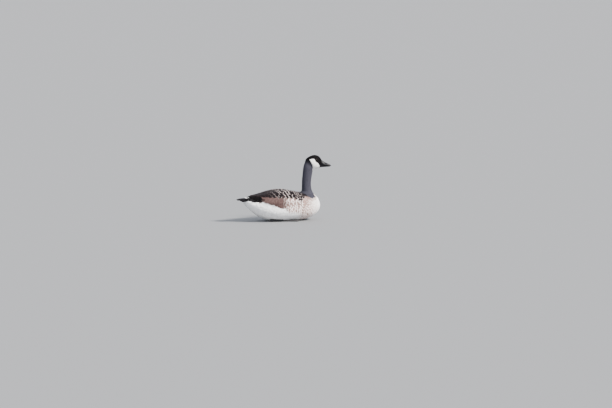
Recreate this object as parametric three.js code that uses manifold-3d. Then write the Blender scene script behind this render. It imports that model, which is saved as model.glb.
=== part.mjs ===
// A Canada goose, life size, afloat with its neck up, set down on its belly with its feet tucked under.
// Millimetres. +X runs towards the bill, +Z is up, and the floor is at Z = 0.
import * as THREE from 'three';
import Module from 'manifold-3d';
import { mergeVertices } from 'three/addons/utils/BufferGeometryUtils.js';

const wasm = await Module();
wasm.setup();

// Driving dimensions.
const BODY_HALF_WIDTH = 104;
const BREAST_X = 221.5;
const TAIL_TIP_X = -268;
const BACK_HEIGHT = 176;
const BELLY_SINK = 4;
const NECK_AXIS_X = 152;
const NECK_HALF_WIDTH = 24.5;
const HEAD_HALF_WIDTH = 25;
const HEAD_TURN = THREE.MathUtils.degToRad(-12);
const BILL_REACH = 131;
const BILL_HALF_WIDTH = 12.5;
const EYE_RADIUS = 8;
const EYE_PLACE = new THREE.Vector3(46, 15.4, 338);
const WING_THICKNESS = 15;
const TAIL_HALF_WIDTH = 46;
const TAIL_ARCH = 8;
const TARSUS_RADIUS = 5.2;
const TOE_RADIUS = 4;
const WEB_THICKNESS = 2.6;
const CLAW_LENGTH = 8;
const GAP = 0.3;
const WING_GAP = 1;

// How finely each part is divided.
const TRUNK_SIDES = 26;
const TRUNK_STEPS = 26;
const NECK_SIDES = 18;
const NECK_STEPS = 14;
const HEAD_SIDES = 18;
const HEAD_STEPS = 16;
const BILL_SIDES = 12;
const BILL_STEPS = 10;
const WING_STEPS = 24;
const WING_OUTER_POINTS = 9;
const WING_INNER_POINTS = 5;
const TAIL_STEPS = 8;
const LIMB_SIDES = 8;

// The trunk's side outline, from the stern to the breast: the back and the belly point of each
// slanting section, and its width as a share of the widest.
const TRUNK_STATIONS = [
  { backX: -236, backZ: 122, bellyX: -234, bellyZ: 113, width: 0.12 },
  { backX: -225, backZ: 131, bellyX: -227, bellyZ: 103, width: 0.30 },
  { backX: -202, backZ: 138, bellyX: -212, bellyZ: 84, width: 0.46 },
  { backX: -160, backZ: 143, bellyX: -183, bellyZ: 55, width: 0.64 },
  { backX: -112, backZ: 152.5, bellyX: -140, bellyZ: 25, width: 0.82 },
  { backX: -64, backZ: 165.5, bellyX: -84, bellyZ: 3, width: 0.95 },
  { backX: -20, backZ: BACK_HEIGHT - 4, bellyX: -20, bellyZ: -BELLY_SINK, width: 1 },
  { backX: 36, backZ: BACK_HEIGHT - 9, bellyX: 46, bellyZ: -BELLY_SINK, width: 1 },
  { backX: 88, backZ: 160, bellyX: 112, bellyZ: 1, width: 0.94 },
  { backX: 134, backZ: 157, bellyX: 163, bellyZ: 14, width: 0.81 },
  { backX: 174, backZ: 148, bellyX: 197, bellyZ: 35, width: 0.62 },
  { backX: 202, backZ: 130, bellyX: BREAST_X - 8, bellyZ: 54, width: 0.40 },
  { backX: BREAST_X - 3, backZ: 101, bellyX: BREAST_X, bellyZ: 72, width: 0.15 },
];
const TRUNK_WIDEST_AT = 0.43;
const BACK_ROUNDING = 2.3;
const BELLY_ROUNDING = 2.05;

// The neck's level sections from the shoulders up into the head. Front and rear are its side outline.
const NECK_STATIONS = [
  { z: 118, rear: 92, front: 201, half: 58 },
  { z: 132, rear: 103, front: 196, half: 47 },
  { z: 145, rear: 109.5, front: 187, half: 38.5 },
  { z: 159, rear: 113.5, front: 179, half: 32 },
  { z: 174, rear: 115.5, front: 173, half: 28 },
  { z: 193, rear: 116, front: 170, half: 25.8 },
  { z: 222, rear: 116, front: 171.5, half: NECK_HALF_WIDTH },
  { z: 250, rear: 119, front: 176.5, half: NECK_HALF_WIDTH },
  { z: 279, rear: 122, front: 182, half: 24.5 },
  { z: 303, rear: 127, front: 188, half: 23 },
  { z: 326, rear: 134.5, front: 188, half: 20 },
  { z: 342, rear: 146, front: 184, half: 14 },
];

// The head's outline, measured forward from the neck's axis: crown, chin and half width.
const HEAD_STATIONS = [
  { x: -15, crown: 334, chin: 326, half: 4 },
  { x: -11, crown: 342, chin: 314, half: 13 },
  { x: 0, crown: 351, chin: 301, half: 20 },
  { x: 12, crown: 357.5, chin: 292, half: 23.5 },
  { x: 26, crown: 362.6, chin: 285, half: HEAD_HALF_WIDTH },
  { x: 39, crown: 364.2, chin: 283, half: HEAD_HALF_WIDTH },
  { x: 52, crown: 362, chin: 286, half: 23 },
  { x: 64, crown: 355.5, chin: 290, half: 19.2 },
  { x: 72, crown: 346, chin: 293, half: 16 },
  { x: 79, crown: 335, chin: 295.4, half: 13.2 },
  { x: 83, crown: 328, chin: 297, half: 9 },
];
const HEAD_WIDEST_AT = 0.44;
const HEAD_ROUNDING = 2.15;

// The bill, measured forward from the neck's axis: the ridge, the cutting edge and the half width
// of the upper half, and the cutting edge, the keel and the half width of the lower half.
const UPPER_BILL_STATIONS = [
  { x: 62, top: 340, bottom: 307, half: 12.2 },
  { x: 74, top: 337.5, bottom: 306.5, half: BILL_HALF_WIDTH },
  { x: 84, top: 330, bottom: 305, half: BILL_HALF_WIDTH },
  { x: 96, top: 322.6, bottom: 303.2, half: 11.6 },
  { x: 108, top: 317, bottom: 302, half: 10.8 },
  { x: 119, top: 311.8, bottom: 301.2, half: 9.6 },
  { x: 127, top: 307.8, bottom: 299.9, half: 7 },
  { x: BILL_REACH, top: 304, bottom: 299, half: 2.6 },
];
const LOWER_BILL_STATIONS = [
  { x: 60, top: 306, bottom: 293.8, half: 10.6 },
  { x: 74, top: 305.6, bottom: 293.8, half: 11 },
  { x: 86, top: 304, bottom: 294.4, half: 10.6 },
  { x: 100, top: 302.2, bottom: 295, half: 9.4 },
  { x: 112, top: 301.2, bottom: 295.6, half: 8.4 },
  { x: 121, top: 300.3, bottom: 296.1, half: 6.4 },
  { x: 126, top: 299.4, bottom: 296.8, half: 2.6 },
];
const NOSTRIL = { x: 97, y: 7.7, z: 315, halfLength: 5.5, halfHeight: 1.7, depth: 2.5, slope: 0.42 };
const UPPER_BILL_ROUNDING = { widestAt: 0.2, above: 1.9, below: 3 };
const LOWER_BILL_ROUNDING = { widestAt: 0.75, above: 3, below: 2 };

// The folded wing, from the shoulder to its tip over the tail: its upper and lower edges.
const WING_STATIONS = [
  { x: 122, upperY: 58, upperZ: 145, lowerY: 71, lowerZ: 132, thickness: 0.2 },
  { x: 113, upperY: 47, upperZ: 152, lowerY: 84, lowerZ: 119, thickness: 0.65 },
  { x: 88, upperY: 38, upperZ: 159.5, lowerY: 96, lowerZ: 111, thickness: 1 },
  { x: 50, upperY: 30, upperZ: 166, lowerY: 103, lowerZ: 107, thickness: 1 },
  { x: 0, upperY: 20, upperZ: 174.5, lowerY: 107, lowerZ: 106, thickness: 1 },
  { x: -56, upperY: 11, upperZ: 170.5, lowerY: 104, lowerZ: 106, thickness: 1 },
  { x: -106, upperY: 5.5, upperZ: 158.5, lowerY: 92, lowerZ: 108, thickness: 0.95 },
  { x: -150, upperY: 2.5, upperZ: 149, lowerY: 71, lowerZ: 112, thickness: 0.8 },
  { x: -186, upperY: 1.5, upperZ: 146, lowerY: 40, lowerZ: 119, thickness: 0.55 },
  { x: -206, upperY: 2, upperZ: 143, lowerY: 15, lowerZ: 131, thickness: 0.2 },
];
const WING_BULGE = 0.23;
const WING_EDGE = 1.6;

// The tail's sections, from its root to its tip: ridge height, width share and thickness.
const TAIL_STATIONS = [
  { x: -186, ridge: 135, width: 0.62, thickness: 18 },
  { x: -208, ridge: 136, width: 0.82, thickness: 16 },
  { x: -229, ridge: 135.5, width: 0.97, thickness: 12 },
  { x: -246, ridge: 134, width: 1, thickness: 7.5 },
  { x: -258, ridge: 132, width: 0.84, thickness: 4.6 },
  { x: -265, ridge: 130, width: 0.55, thickness: 3 },
  { x: TAIL_TIP_X, ridge: 129, width: 0.22, thickness: 2 },
];

// One foot, flat on the floor under the flank, with its toes forward and its shank laid back.
const FOOT_BASE = new THREE.Vector3(-10, 60, 0);
const TOE_TIPS = [
  new THREE.Vector3(58, 46, 0),
  new THREE.Vector3(74, 68, 0),
  new THREE.Vector3(58, 90, 0),
];
const HIND_TOE_TIP = new THREE.Vector3(-30, 51, 4);
const HEEL = new THREE.Vector3(-92, 52, 12);
const SOLE_HEIGHT = 3.2;
const SHANK_RISE = 3.6;
const SHANK_SWELL = [1.05, 0.95, 0.9, 0.92, 1, 1.25, 0.9];
const CLAW_DROP = 1.6;
const CLAW_ARCH = 0.9;
const CLAW_TIP_RADIUS = 0.35;

const FEATHER_BLACK = new THREE.MeshStandardMaterial({ color: 0x17161b, roughness: 0.8, metalness: 0 });
const BODY_BROWN = new THREE.MeshStandardMaterial({ color: 0x8b7a70, roughness: 0.9, metalness: 0 });
const WING_BROWN = new THREE.MeshStandardMaterial({ color: 0x4a3f3c, roughness: 0.9, metalness: 0 });
const HORN_BLACK = new THREE.MeshStandardMaterial({ color: 0x141416, roughness: 0.4, metalness: 0 });
const LEG_BLACK = new THREE.MeshStandardMaterial({ color: 0x202022, roughness: 0.6, metalness: 0 });
const EYE_BROWN = new THREE.MeshStandardMaterial({ color: 0x22120b, roughness: 0.1, metalness: 0 });

// A smooth curve through one value of the stations, read with a share of the way from 0 to 1.
function smoothly(stations, key) {
  const curve = new THREE.SplineCurve(stations.map((row, place) => new THREE.Vector2(place, row[key])));
  return (share) => curve.getPoint(share).y;
}

// Reads every value of the stations at evenly spaced places along them.
function sections(stations, steps) {
  const readers = Object.keys(stations[0]).map((key) => [key, smoothly(stations, key)]);
  return Array.from({ length: steps + 1 }, (_, step) =>
    Object.fromEntries(readers.map(([key, read]) => [key, read(step / steps)])));
}

// A rounded ring between a top and a bottom point, widest at a share of its height.
function roundedRing(top, bottom, half, widestAt, upperRounding, lowerRounding, sides) {
  return Array.from({ length: sides }, (_, side) => {
    const angle = (side / sides) * 2 * Math.PI;
    const rounding = 2 / (Math.sin(angle) >= 0 ? upperRounding : lowerRounding);
    const out = Math.sign(Math.cos(angle)) * Math.abs(Math.cos(angle)) ** rounding;
    const rise = Math.sign(Math.sin(angle)) * Math.abs(Math.sin(angle)) ** rounding;
    const height = widestAt + rise * (rise >= 0 ? 1 - widestAt : widestAt);
    const point = bottom.clone().lerp(top, height);
    point.y += half * out;
    return point;
  });
}

// Pushes each ring outwards in its own plane, and the end rings along the loft, to leave a gap.
function grown(rings, distance) {
  const centres = rings.map((ring) =>
    ring.reduce((sum, point) => sum.add(point), new THREE.Vector3()).divideScalar(ring.length));
  return rings.map((ring, place) => {
    const before = centres[Math.max(place - 1, 0)];
    const after = centres[Math.min(place + 1, rings.length - 1)];
    const axis = after.clone().sub(before).normalize();
    let endPush = 0;
    if (place === 0) endPush = -distance;
    if (place === rings.length - 1) endPush = distance;
    const normals = ring.map((point, index) => {
      const next = ring[(index + 1) % ring.length];
      const last = ring[(index + ring.length - 1) % ring.length];
      return next.clone().sub(last).cross(axis).normalize();
    });
    const facing = ring.reduce((sum, point, index) =>
      sum + normals[index].dot(point.clone().sub(centres[place])), 0);
    return ring.map((point, index) => point.clone()
      .addScaledVector(normals[index], Math.sign(facing) * distance).addScaledVector(axis, endPush));
  });
}

// A closed skin over a row of rings, with a fan over each end.
function loft(rings) {
  const sides = rings[0].length;
  const points = rings.flat();
  const triangles = [];
  for (let ring = 0; ring < rings.length - 1; ring += 1) {
    for (let side = 0; side < sides; side += 1) {
      const here = ring * sides + side;
      const beside = ring * sides + ((side + 1) % sides);
      triangles.push(here, beside, here + sides, beside, beside + sides, here + sides);
    }
  }
  for (const [place, flip] of [[0, true], [rings.length - 1, false]]) {
    const centre = rings[place].reduce((sum, point) => sum.add(point), new THREE.Vector3());
    points.push(centre.divideScalar(sides));
    for (let side = 0; side < sides; side += 1) {
      const here = place * sides + side;
      const beside = place * sides + ((side + 1) % sides);
      triangles.push(...(flip ? [beside, here, points.length - 1] : [here, beside, points.length - 1]));
    }
  }
  const geometry = new THREE.BufferGeometry().setFromPoints(points);
  geometry.setIndex(triangles);
  return facingOut(geometry);
}

// Turns a closed geometry's triangles over where they enclose a negative volume.
function facingOut(geometry) {
  const place = geometry.getAttribute('position');
  const index = geometry.getIndex();
  const corners = [new THREE.Vector3(), new THREE.Vector3(), new THREE.Vector3()];
  let volume = 0;
  for (let first = 0; first < index.count; first += 3) {
    corners.forEach((corner, turn) => corner.fromBufferAttribute(place, index.getX(first + turn)));
    volume += corners[0].dot(corners[1].cross(corners[2])) / 6;
  }
  if (volume < 0) index.array.reverse();
  return geometry;
}

// A solid for joining and cutting, made from any closed geometry.
function solid(geometry) {
  const bare = geometry.clone();
  bare.deleteAttribute('normal');
  bare.deleteAttribute('uv');
  const merged = mergeVertices(bare);
  const vertProperties = new Float32Array(merged.getAttribute('position').array);
  const triVerts = new Uint32Array(merged.getIndex().array);
  return new wasm.Manifold(new wasm.Mesh({ numProp: 3, vertProperties, triVerts }));
}

// The left part's geometry, carried over to the right side.
function mirrored(geometry) {
  const turned = geometry.clone().applyMatrix4(new THREE.Matrix4().makeScale(1, -1, 1));
  turned.getIndex().array.reverse();
  return turned;
}

// A named mesh of a finished solid.
function part(name, shape, material) {
  const mesh = shape.getMesh();
  const geometry = new THREE.BufferGeometry();
  geometry.setAttribute('position', new THREE.BufferAttribute(new Float32Array(mesh.vertProperties), 3));
  geometry.setIndex(new THREE.BufferAttribute(new Uint32Array(mesh.triVerts), 1));
  geometry.computeVertexNormals();
  const made = new THREE.Mesh(geometry, material);
  made.name = name;
  return made;
}

// A block that cuts or keeps a region, tilted about the side-to-side axis.
function block(size, centre, tilt) {
  const box = new THREE.BoxGeometry(size.x, size.y, size.z);
  box.rotateY(tilt);
  box.translate(centre.x, centre.y, centre.z);
  return solid(box);
}

// Turns a head part about the neck's axis.
function withHeadTurn(geometry) {
  return geometry.translate(-NECK_AXIS_X, 0, 0).rotateZ(HEAD_TURN).translate(NECK_AXIS_X, 0, 0);
}

function trunkRings() {
  return sections(TRUNK_STATIONS, TRUNK_STEPS).map((at) => roundedRing(
    new THREE.Vector3(at.backX, 0, at.backZ), new THREE.Vector3(at.bellyX, 0, at.bellyZ),
    at.width * BODY_HALF_WIDTH, TRUNK_WIDEST_AT, BACK_ROUNDING, BELLY_ROUNDING, TRUNK_SIDES));
}

function neckRings() {
  return sections(NECK_STATIONS, NECK_STEPS).map((at) =>
    Array.from({ length: NECK_SIDES }, (_, side) => {
      const angle = (side / NECK_SIDES) * 2 * Math.PI;
      const middle = (at.front + at.rear) / 2;
      const reach = (at.front - at.rear) / 2;
      return new THREE.Vector3(middle + reach * Math.cos(angle), at.half * Math.sin(angle), at.z);
    }));
}

function headRings() {
  return sections(HEAD_STATIONS, HEAD_STEPS).map((at) => roundedRing(
    new THREE.Vector3(NECK_AXIS_X + at.x, 0, at.crown), new THREE.Vector3(NECK_AXIS_X + at.x, 0, at.chin),
    at.half, HEAD_WIDEST_AT, HEAD_ROUNDING, HEAD_ROUNDING, HEAD_SIDES));
}

function billRings(stations, rounding) {
  return sections(stations, BILL_STEPS).map((at) => roundedRing(
    new THREE.Vector3(NECK_AXIS_X + at.x, 0, at.top), new THREE.Vector3(NECK_AXIS_X + at.x, 0, at.bottom),
    at.half, rounding.widestAt, rounding.above, rounding.below, BILL_SIDES));
}

// The left wing's sections: an outer arc from the upper to the lower edge, and an inner arc back.
function wingRings() {
  return sections(WING_STATIONS, WING_STEPS).map((at) => {
    const upper = new THREE.Vector3(at.x, at.upperY, at.upperZ);
    const along = new THREE.Vector3(at.x, at.lowerY, at.lowerZ).sub(upper);
    const outwards = new THREE.Vector3(0, -along.z, along.y).normalize();
    const outerBulge = along.length() * WING_BULGE;
    const innerBulge = outerBulge - at.thickness * WING_THICKNESS;
    const arc = (share, bulge, shift) => upper.clone().addScaledVector(along, share)
      .addScaledVector(outwards, 4 * bulge * share * (1 - share) - shift);
    const outer = Array.from({ length: WING_OUTER_POINTS }, (_, place) =>
      arc(place / (WING_OUTER_POINTS - 1), outerBulge, 0));
    const inner = Array.from({ length: WING_INNER_POINTS }, (_, place) =>
      arc(1 - place / (WING_INNER_POINTS - 1), innerBulge, WING_EDGE));
    return [...outer, ...inner];
  });
}

// The tail's sections: a thin fan, arched from side to side.
function tailRings() {
  const share = [1, 0.8, 0.55, 0.28, 0, -0.28, -0.55, -0.8, -1];
  return sections(TAIL_STATIONS, TAIL_STEPS).map((at) => {
    const half = at.width * TAIL_HALF_WIDTH;
    const sag = (out) => TAIL_ARCH * at.width * out * out;
    const edge = (out) => at.thickness * (1 - 0.6 * out * out);
    const top = share.map((out) => new THREE.Vector3(at.x, half * out, at.ridge - sag(out)));
    const under = share.map((out) => new THREE.Vector3(at.x, half * out, at.ridge - sag(out) - edge(out)));
    return [...top, ...under.reverse()];
  });
}

// A round limb from one point to another, with a radius at each end.
function limbRings(start, end, startRadius, endRadius, steps) {
  const axis = end.clone().sub(start).normalize();
  const sideways = new THREE.Vector3(0, 0, 1).cross(axis).normalize();
  const upwards = axis.clone().cross(sideways);
  return Array.from({ length: steps + 1 }, (_, step) => {
    const share = step / steps;
    const centre = start.clone().lerp(end, share);
    const radius = startRadius + (endRadius - startRadius) * share;
    return Array.from({ length: LIMB_SIDES }, (_unused, side) => {
      const angle = ((side + 0.5) / LIMB_SIDES) * 2 * Math.PI;
      return centre.clone().addScaledVector(sideways, radius * Math.cos(angle))
        .addScaledVector(upwards, radius * Math.sin(angle));
    });
  });
}

// The floor's side, as a block that trims whatever hangs below it.
const BELOW_FLOOR = block({ x: 900, y: 500, z: 100 }, { x: 0, y: 0, z: -100 / 2 }, 0);

// One webbed foot: a web with scalloped front edges, three toes, a hind toe and the ankle knuckle.
function footSolid() {
  const outline = new THREE.Shape();
  outline.moveTo(FOOT_BASE.x - 4, FOOT_BASE.y - 5);
  outline.lineTo(TOE_TIPS[0].x - 3, TOE_TIPS[0].y);
  outline.quadraticCurveTo(TOE_TIPS[0].x - 8, TOE_TIPS[0].y + 14, TOE_TIPS[1].x - 4, TOE_TIPS[1].y - 1);
  outline.lineTo(TOE_TIPS[1].x - 4, TOE_TIPS[1].y + 1);
  outline.quadraticCurveTo(TOE_TIPS[2].x - 8, TOE_TIPS[2].y - 13, TOE_TIPS[2].x - 3, TOE_TIPS[2].y);
  outline.lineTo(FOOT_BASE.x - 4, FOOT_BASE.y + 5);
  outline.closePath();
  const cut = { depth: WEB_THICKNESS, bevelEnabled: false, curveSegments: 4 };
  let foot = solid(new THREE.ExtrudeGeometry(outline, cut));
  const lift = new THREE.Vector3(0, 0, SOLE_HEIGHT);
  const ankle = FOOT_BASE.clone().add(lift);
  for (const tip of TOE_TIPS) {
    foot = foot.add(solid(loft(limbRings(ankle, tip.clone().add(lift), TOE_RADIUS + 1, TOE_RADIUS - 1, 2))));
  }
  foot = foot.add(solid(loft(limbRings(ankle, HIND_TOE_TIP, TOE_RADIUS, TOE_RADIUS - 1.4, 2))));
  return foot.subtract(BELOW_FLOOR);
}

// The shank from behind the foot to the heel, with a thicker heel joint.
function legRings() {
  const start = FOOT_BASE.clone().add(new THREE.Vector3(-TARSUS_RADIUS, 0, SOLE_HEIGHT + SHANK_RISE));
  const steps = SHANK_SWELL.length - 1;
  const axis = HEEL.clone().sub(start);
  return limbRings(start, HEEL, TARSUS_RADIUS, TARSUS_RADIUS, steps).map((ring, place) => {
    const centre = start.clone().addScaledVector(axis, place / steps);
    return ring.map((point) => centre.clone().addScaledVector(point.clone().sub(centre), SHANK_SWELL[place]));
  });
}

// A claw's rings: a short curved cone at a toe's tip.
function clawRings(tip, direction, radius) {
  const root = tip.clone().addScaledVector(direction, GAP * 2);
  const end = root.clone().addScaledVector(direction, CLAW_LENGTH);
  end.z -= CLAW_DROP;
  const middle = root.clone().lerp(end, 0.5);
  middle.z += CLAW_ARCH;
  return [
    ...limbRings(root, middle, radius, radius * 0.7, 1),
    limbRings(middle, end, radius * 0.7, CLAW_TIP_RADIUS, 1)[1],
  ];
}

const goose = new THREE.Group();

// The whole bird in one piece, before it is parted.
const trunkWhole = solid(loft(trunkRings()));
const neckWhole = solid(loft(neckRings()));
const headWhole = solid(withHeadTurn(loft(headRings())));
const flesh = trunkWhole.add(neckWhole).add(headWhole).subtract(BELOW_FLOOR);

// The regions of the neck and the head, each kept by one block and cut from the rest by a larger one.
const NECK_REGION = { size: { x: 104, y: 140, z: 200 }, centre: { x: 165, y: 0, z: 259 }, tilt: 0.06 };
const HEAD_REGION = { size: { x: 190, y: 140, z: 130 }, centre: { x: 206, y: 0, z: 349 }, tilt: 0.66 };

function region(place, growth) {
  const size = { x: place.size.x + growth, y: place.size.y + growth, z: place.size.z + growth };
  return block(size, place.centre, place.tilt);
}

const headRegion = region(HEAD_REGION, 0);
const headRoom = region(HEAD_REGION, 2 * GAP);
const neckRegion = region(NECK_REGION, 0);
const neckRoom = region(NECK_REGION, 2 * GAP);

// The bill, with a slit nostril on each side, and the room that the head leaves for it.
const upperBillRings = billRings(UPPER_BILL_STATIONS, UPPER_BILL_ROUNDING);
const lowerBillRings = billRings(LOWER_BILL_STATIONS, LOWER_BILL_ROUNDING);
const nostrils = [1, -1].map((side) => {
  const slit = new THREE.SphereGeometry(1, 8, 6);
  slit.scale(NOSTRIL.halfLength, NOSTRIL.depth, NOSTRIL.halfHeight);
  slit.rotateY(NOSTRIL.slope);
  slit.translate(NECK_AXIS_X + NOSTRIL.x, side * NOSTRIL.y, NOSTRIL.z);
  return solid(withHeadTurn(slit));
});
const upperBill = solid(withHeadTurn(loft(upperBillRings))).subtract(nostrils[0]).subtract(nostrils[1]);
const lowerBill = solid(withHeadTurn(loft(lowerBillRings)));
const billRoom = solid(withHeadTurn(loft(grown(upperBillRings, GAP))))
  .add(solid(withHeadTurn(loft(grown(lowerBillRings, GAP)))));

// The eyes and their sockets.
function eyeSolid(side, radius) {
  const ball = new THREE.SphereGeometry(radius, 12, 8);
  ball.translate(NECK_AXIS_X + EYE_PLACE.x, side * EYE_PLACE.y, EYE_PLACE.z);
  return solid(withHeadTurn(ball));
}

const head = flesh.intersect(headRegion).subtract(billRoom)
  .subtract(eyeSolid(1, EYE_RADIUS + GAP)).subtract(eyeSolid(-1, EYE_RADIUS + GAP));
const neck = flesh.subtract(headRoom).intersect(neckRegion);
goose.add(part('head', head, FEATHER_BLACK));
goose.add(part('neck', neck, FEATHER_BLACK));
goose.add(part('bill_upper', upperBill, HORN_BLACK));
goose.add(part('bill_lower', lowerBill, HORN_BLACK));

// The parts that come in pairs, and the room that the trunk leaves for each.
const SIDES = [['left', 1], ['right', -1]];
const onSide = (geometry, side) => (side > 0 ? geometry : mirrored(geometry));
const wings = wingRings();
const leftFoot = part('', footSolid(), LEG_BLACK).geometry;
let trunk = flesh.subtract(headRoom).subtract(neckRoom);
for (const [name, side] of SIDES) {
  goose.add(part(`eye_${name}`, eyeSolid(side, EYE_RADIUS), EYE_BROWN));

  goose.add(part(`wing_${name}`, solid(onSide(loft(wings), side)), WING_BROWN));
  trunk = trunk.subtract(solid(onSide(loft(grown(wings, WING_GAP)), side)));

  const foot = solid(onSide(leftFoot, side));
  const shankRoom = solid(onSide(loft(grown(legRings(), GAP)), side));
  goose.add(part(`foot_${name}`, foot.subtract(shankRoom), LEG_BLACK));
  goose.add(part(`leg_${name}`, solid(onSide(loft(legRings()), side)), LEG_BLACK));
  const lifted = leftFoot.clone().translate(0, 0, 2 * GAP);
  trunk = trunk.subtract(shankRoom).subtract(solid(onSide(lifted, side))).subtract(foot);

  const toes = [...TOE_TIPS.map((tip) => tip.clone().setZ(SOLE_HEIGHT)), HIND_TOE_TIP];
  toes.forEach((tip, place) => {
    const origin = FOOT_BASE.clone().setZ(tip.z);
    const direction = tip.clone().sub(origin).normalize();
    const radius = place < 3 ? TOE_RADIUS - 1.4 : TOE_RADIUS - 1.9;
    const rings = clawRings(tip, direction, radius);
    const claw = solid(onSide(loft(rings), side)).subtract(BELOW_FLOOR);
    goose.add(part(`claw_${name}_${place + 1}`, claw, HORN_BLACK));
    trunk = trunk.subtract(solid(onSide(loft(grown(rings, 2 * GAP)), side)));
  });
}

// The tail, and the trunk that it and the wings leave.
const tail = tailRings();
const wingRoom = SIDES.map(([, side]) => solid(onSide(loft(grown(wings, WING_GAP)), side)));
goose.add(part('tail', solid(loft(tail)).subtract(wingRoom[0]).subtract(wingRoom[1]), FEATHER_BLACK));
goose.add(part('trunk', trunk.subtract(solid(loft(grown(tail, GAP)))), BODY_BROWN));

// The origin lies on the floor, under the middle of the whole bird's length.
const reach = new THREE.Box3().setFromObject(goose);
goose.position.x = -(reach.min.x + reach.max.x) / 2;

export default goose;
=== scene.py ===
# A Canada goose, life size, resting on its belly with its neck up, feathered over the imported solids.
# Shapes are worked out in millimetres, with the floor at height 0, and turned to metres at the end.
import math
import bmesh
import bpy
import numpy as np
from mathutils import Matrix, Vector
from mathutils.bvhtree import BVHTree


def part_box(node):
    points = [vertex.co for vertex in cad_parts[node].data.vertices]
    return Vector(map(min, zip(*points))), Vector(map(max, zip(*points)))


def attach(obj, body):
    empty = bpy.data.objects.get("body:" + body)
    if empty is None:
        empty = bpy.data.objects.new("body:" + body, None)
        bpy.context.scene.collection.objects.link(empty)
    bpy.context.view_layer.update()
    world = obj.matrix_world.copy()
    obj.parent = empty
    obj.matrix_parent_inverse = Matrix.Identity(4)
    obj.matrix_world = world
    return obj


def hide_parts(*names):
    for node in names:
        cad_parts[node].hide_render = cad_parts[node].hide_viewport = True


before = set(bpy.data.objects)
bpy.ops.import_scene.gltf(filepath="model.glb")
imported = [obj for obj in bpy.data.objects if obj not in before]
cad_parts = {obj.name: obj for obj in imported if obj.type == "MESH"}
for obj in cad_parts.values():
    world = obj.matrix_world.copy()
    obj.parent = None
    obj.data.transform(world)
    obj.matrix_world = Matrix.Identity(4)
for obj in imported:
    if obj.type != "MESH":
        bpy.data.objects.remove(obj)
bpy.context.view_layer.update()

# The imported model's place: the tail tip's own measure gives the shift along the body.
TAIL_TIP_X = -268.0
SHIFT_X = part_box("tail")[0].x * 1000 - TAIL_TIP_X
NECK_AXIS_X = 152.0
HEAD_TURN = math.radians(-12)
EYE_RADIUS = 8.0
EYE_PLACE = (46.0, 14.4, 338.0)
BODY_AXIS_Z = 75.0

# Depth of the coat over the skin, from the bill to the body.
HEAD_COAT = 0.85
NECK_COAT = 2.3
BODY_COAT = 3.9
# How far the solids grow before they merge into one skin, and how fine its mesh is.
SKIN_GROWTH = 3.0
SKIN_VOXEL = 2.3
# Where the bill begins, the height of its axis, and where wings and tail leave the skin.
BILL_BASE_X = 81.0
BILL_AXIS_Z = 311.0
WING_SKIN_END = -158.0
TAIL_SKIN_END = -206.0

# The photograph: where the camera stands and how much it takes in.
CAMERA_AZIMUTH = math.radians(-20)
CAMERA_ELEVATION = math.radians(6)
CAMERA_DISTANCE = 18.0
PHOTO_WIDTH = 612 * 0.0056
AIM_POINT = (-14.0, 0.0, 62.0)
AIM_RIGHT = 0.1456
AIM_UP = 0.0308


def metres(points):
    """Turns places in millimetres into the frame's metres."""
    return (np.asarray(points, float) + (SHIFT_X, 0.0, 0.0)) / 1000


def millimetres(points):
    """Turns places in the frame's metres into millimetres."""
    return np.asarray(points, float) * 1000 - (SHIFT_X, 0.0, 0.0)


def unit(vectors):
    """Vectors of length one."""
    return vectors / np.maximum(np.linalg.norm(vectors, axis=-1, keepdims=True), 1e-9)


def eased(low, high, values):
    """A smooth rise from 0 at low to 1 at high."""
    share = np.clip((np.asarray(values, float) - low) / (high - low), 0, 1)
    return share * share * (3 - 2 * share)


def blended(first, second, share):
    """A mix of two colours or places by a share for each."""
    return first + (second - first) * share[:, None]


def linear(red, green, blue):
    """A colour as seen on screen, in the renderer's own scale."""
    shares = np.array([red, green, blue]) / 255
    return np.where(shares > 0.04045, ((shares + 0.055) / 1.055) ** 2.4, shares / 12.92)


def waves(points, size, seed):
    """A soft random ripple from -1 to 1 over places, with patches about the given size."""
    dice = np.random.default_rng(seed)
    total = np.zeros(len(points))
    for _ in range(7):
        way = unit(dice.normal(size=3))
        crest_gap = size * dice.uniform(0.7, 1.5)
        total += np.sin(points @ way * (2 * math.pi / crest_gap) + dice.uniform(0, 6.28))
    return total / 4


def head_place(points):
    """Places in the head's own frame: forward from the neck's axis, sideways and up."""
    ahead = points[:, 0] - NECK_AXIS_X
    cosine, sine = math.cos(HEAD_TURN), math.sin(HEAD_TURN)
    forward = cosine * ahead + sine * points[:, 1]
    sideways = cosine * points[:, 1] - sine * ahead
    return np.stack([forward, sideways, points[:, 2]], 1)


def from_head(points):
    """Places of the head's own frame in the bird's."""
    points = np.atleast_2d(np.asarray(points, float))
    cosine, sine = math.cos(HEAD_TURN), math.sin(HEAD_TURN)
    along = NECK_AXIS_X + cosine * points[:, 0] - sine * points[:, 1]
    aside = sine * points[:, 0] + cosine * points[:, 1]
    return np.stack([along, aside, points[:, 2]], 1)


# The markings.

# Plumage colours. The dark ones are darker than in the photograph, because the studio's light lifts them.
HEAD_BLACK = linear(9, 8, 10)
# The neck's black is lightened to a bluish grey: a painted sheen of sky light on black feathers.
NECK_BLACK_WITH_PAINTED_SHEEN = linear(61, 60, 69)
TAIL_BLACK = linear(9, 7, 9)
PRIMARY_BLACK = linear(9, 7, 8)
PRIMARY_EDGE = linear(24, 19, 20)
LID_BLACK = linear(22, 20, 21)
CHEEK_WHITE = linear(248, 247, 244)
VENT_WHITE = linear(248, 247, 246)
# A lighter brown: painted light along the top of the back, also used for the nape.
NAPE_AND_LIT_BACK_BROWN = linear(28, 22, 24)
WING_BROWN = linear(20, 15, 17)
REAR_FRINGE = linear(44, 35, 36)
PALE_FRINGE = linear(198, 184, 180)
FLANK_BROWN = linear(79, 61, 59)
FLANK_FRINGE = linear(98, 78, 73)
SIDE_MOTTLE = linear(150, 124, 117)
SIDE_PALE = linear(238, 226, 221)
BREAST_BAR = linear(206, 192, 186)
BREAST_PALE = linear(246, 243, 241)

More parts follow.
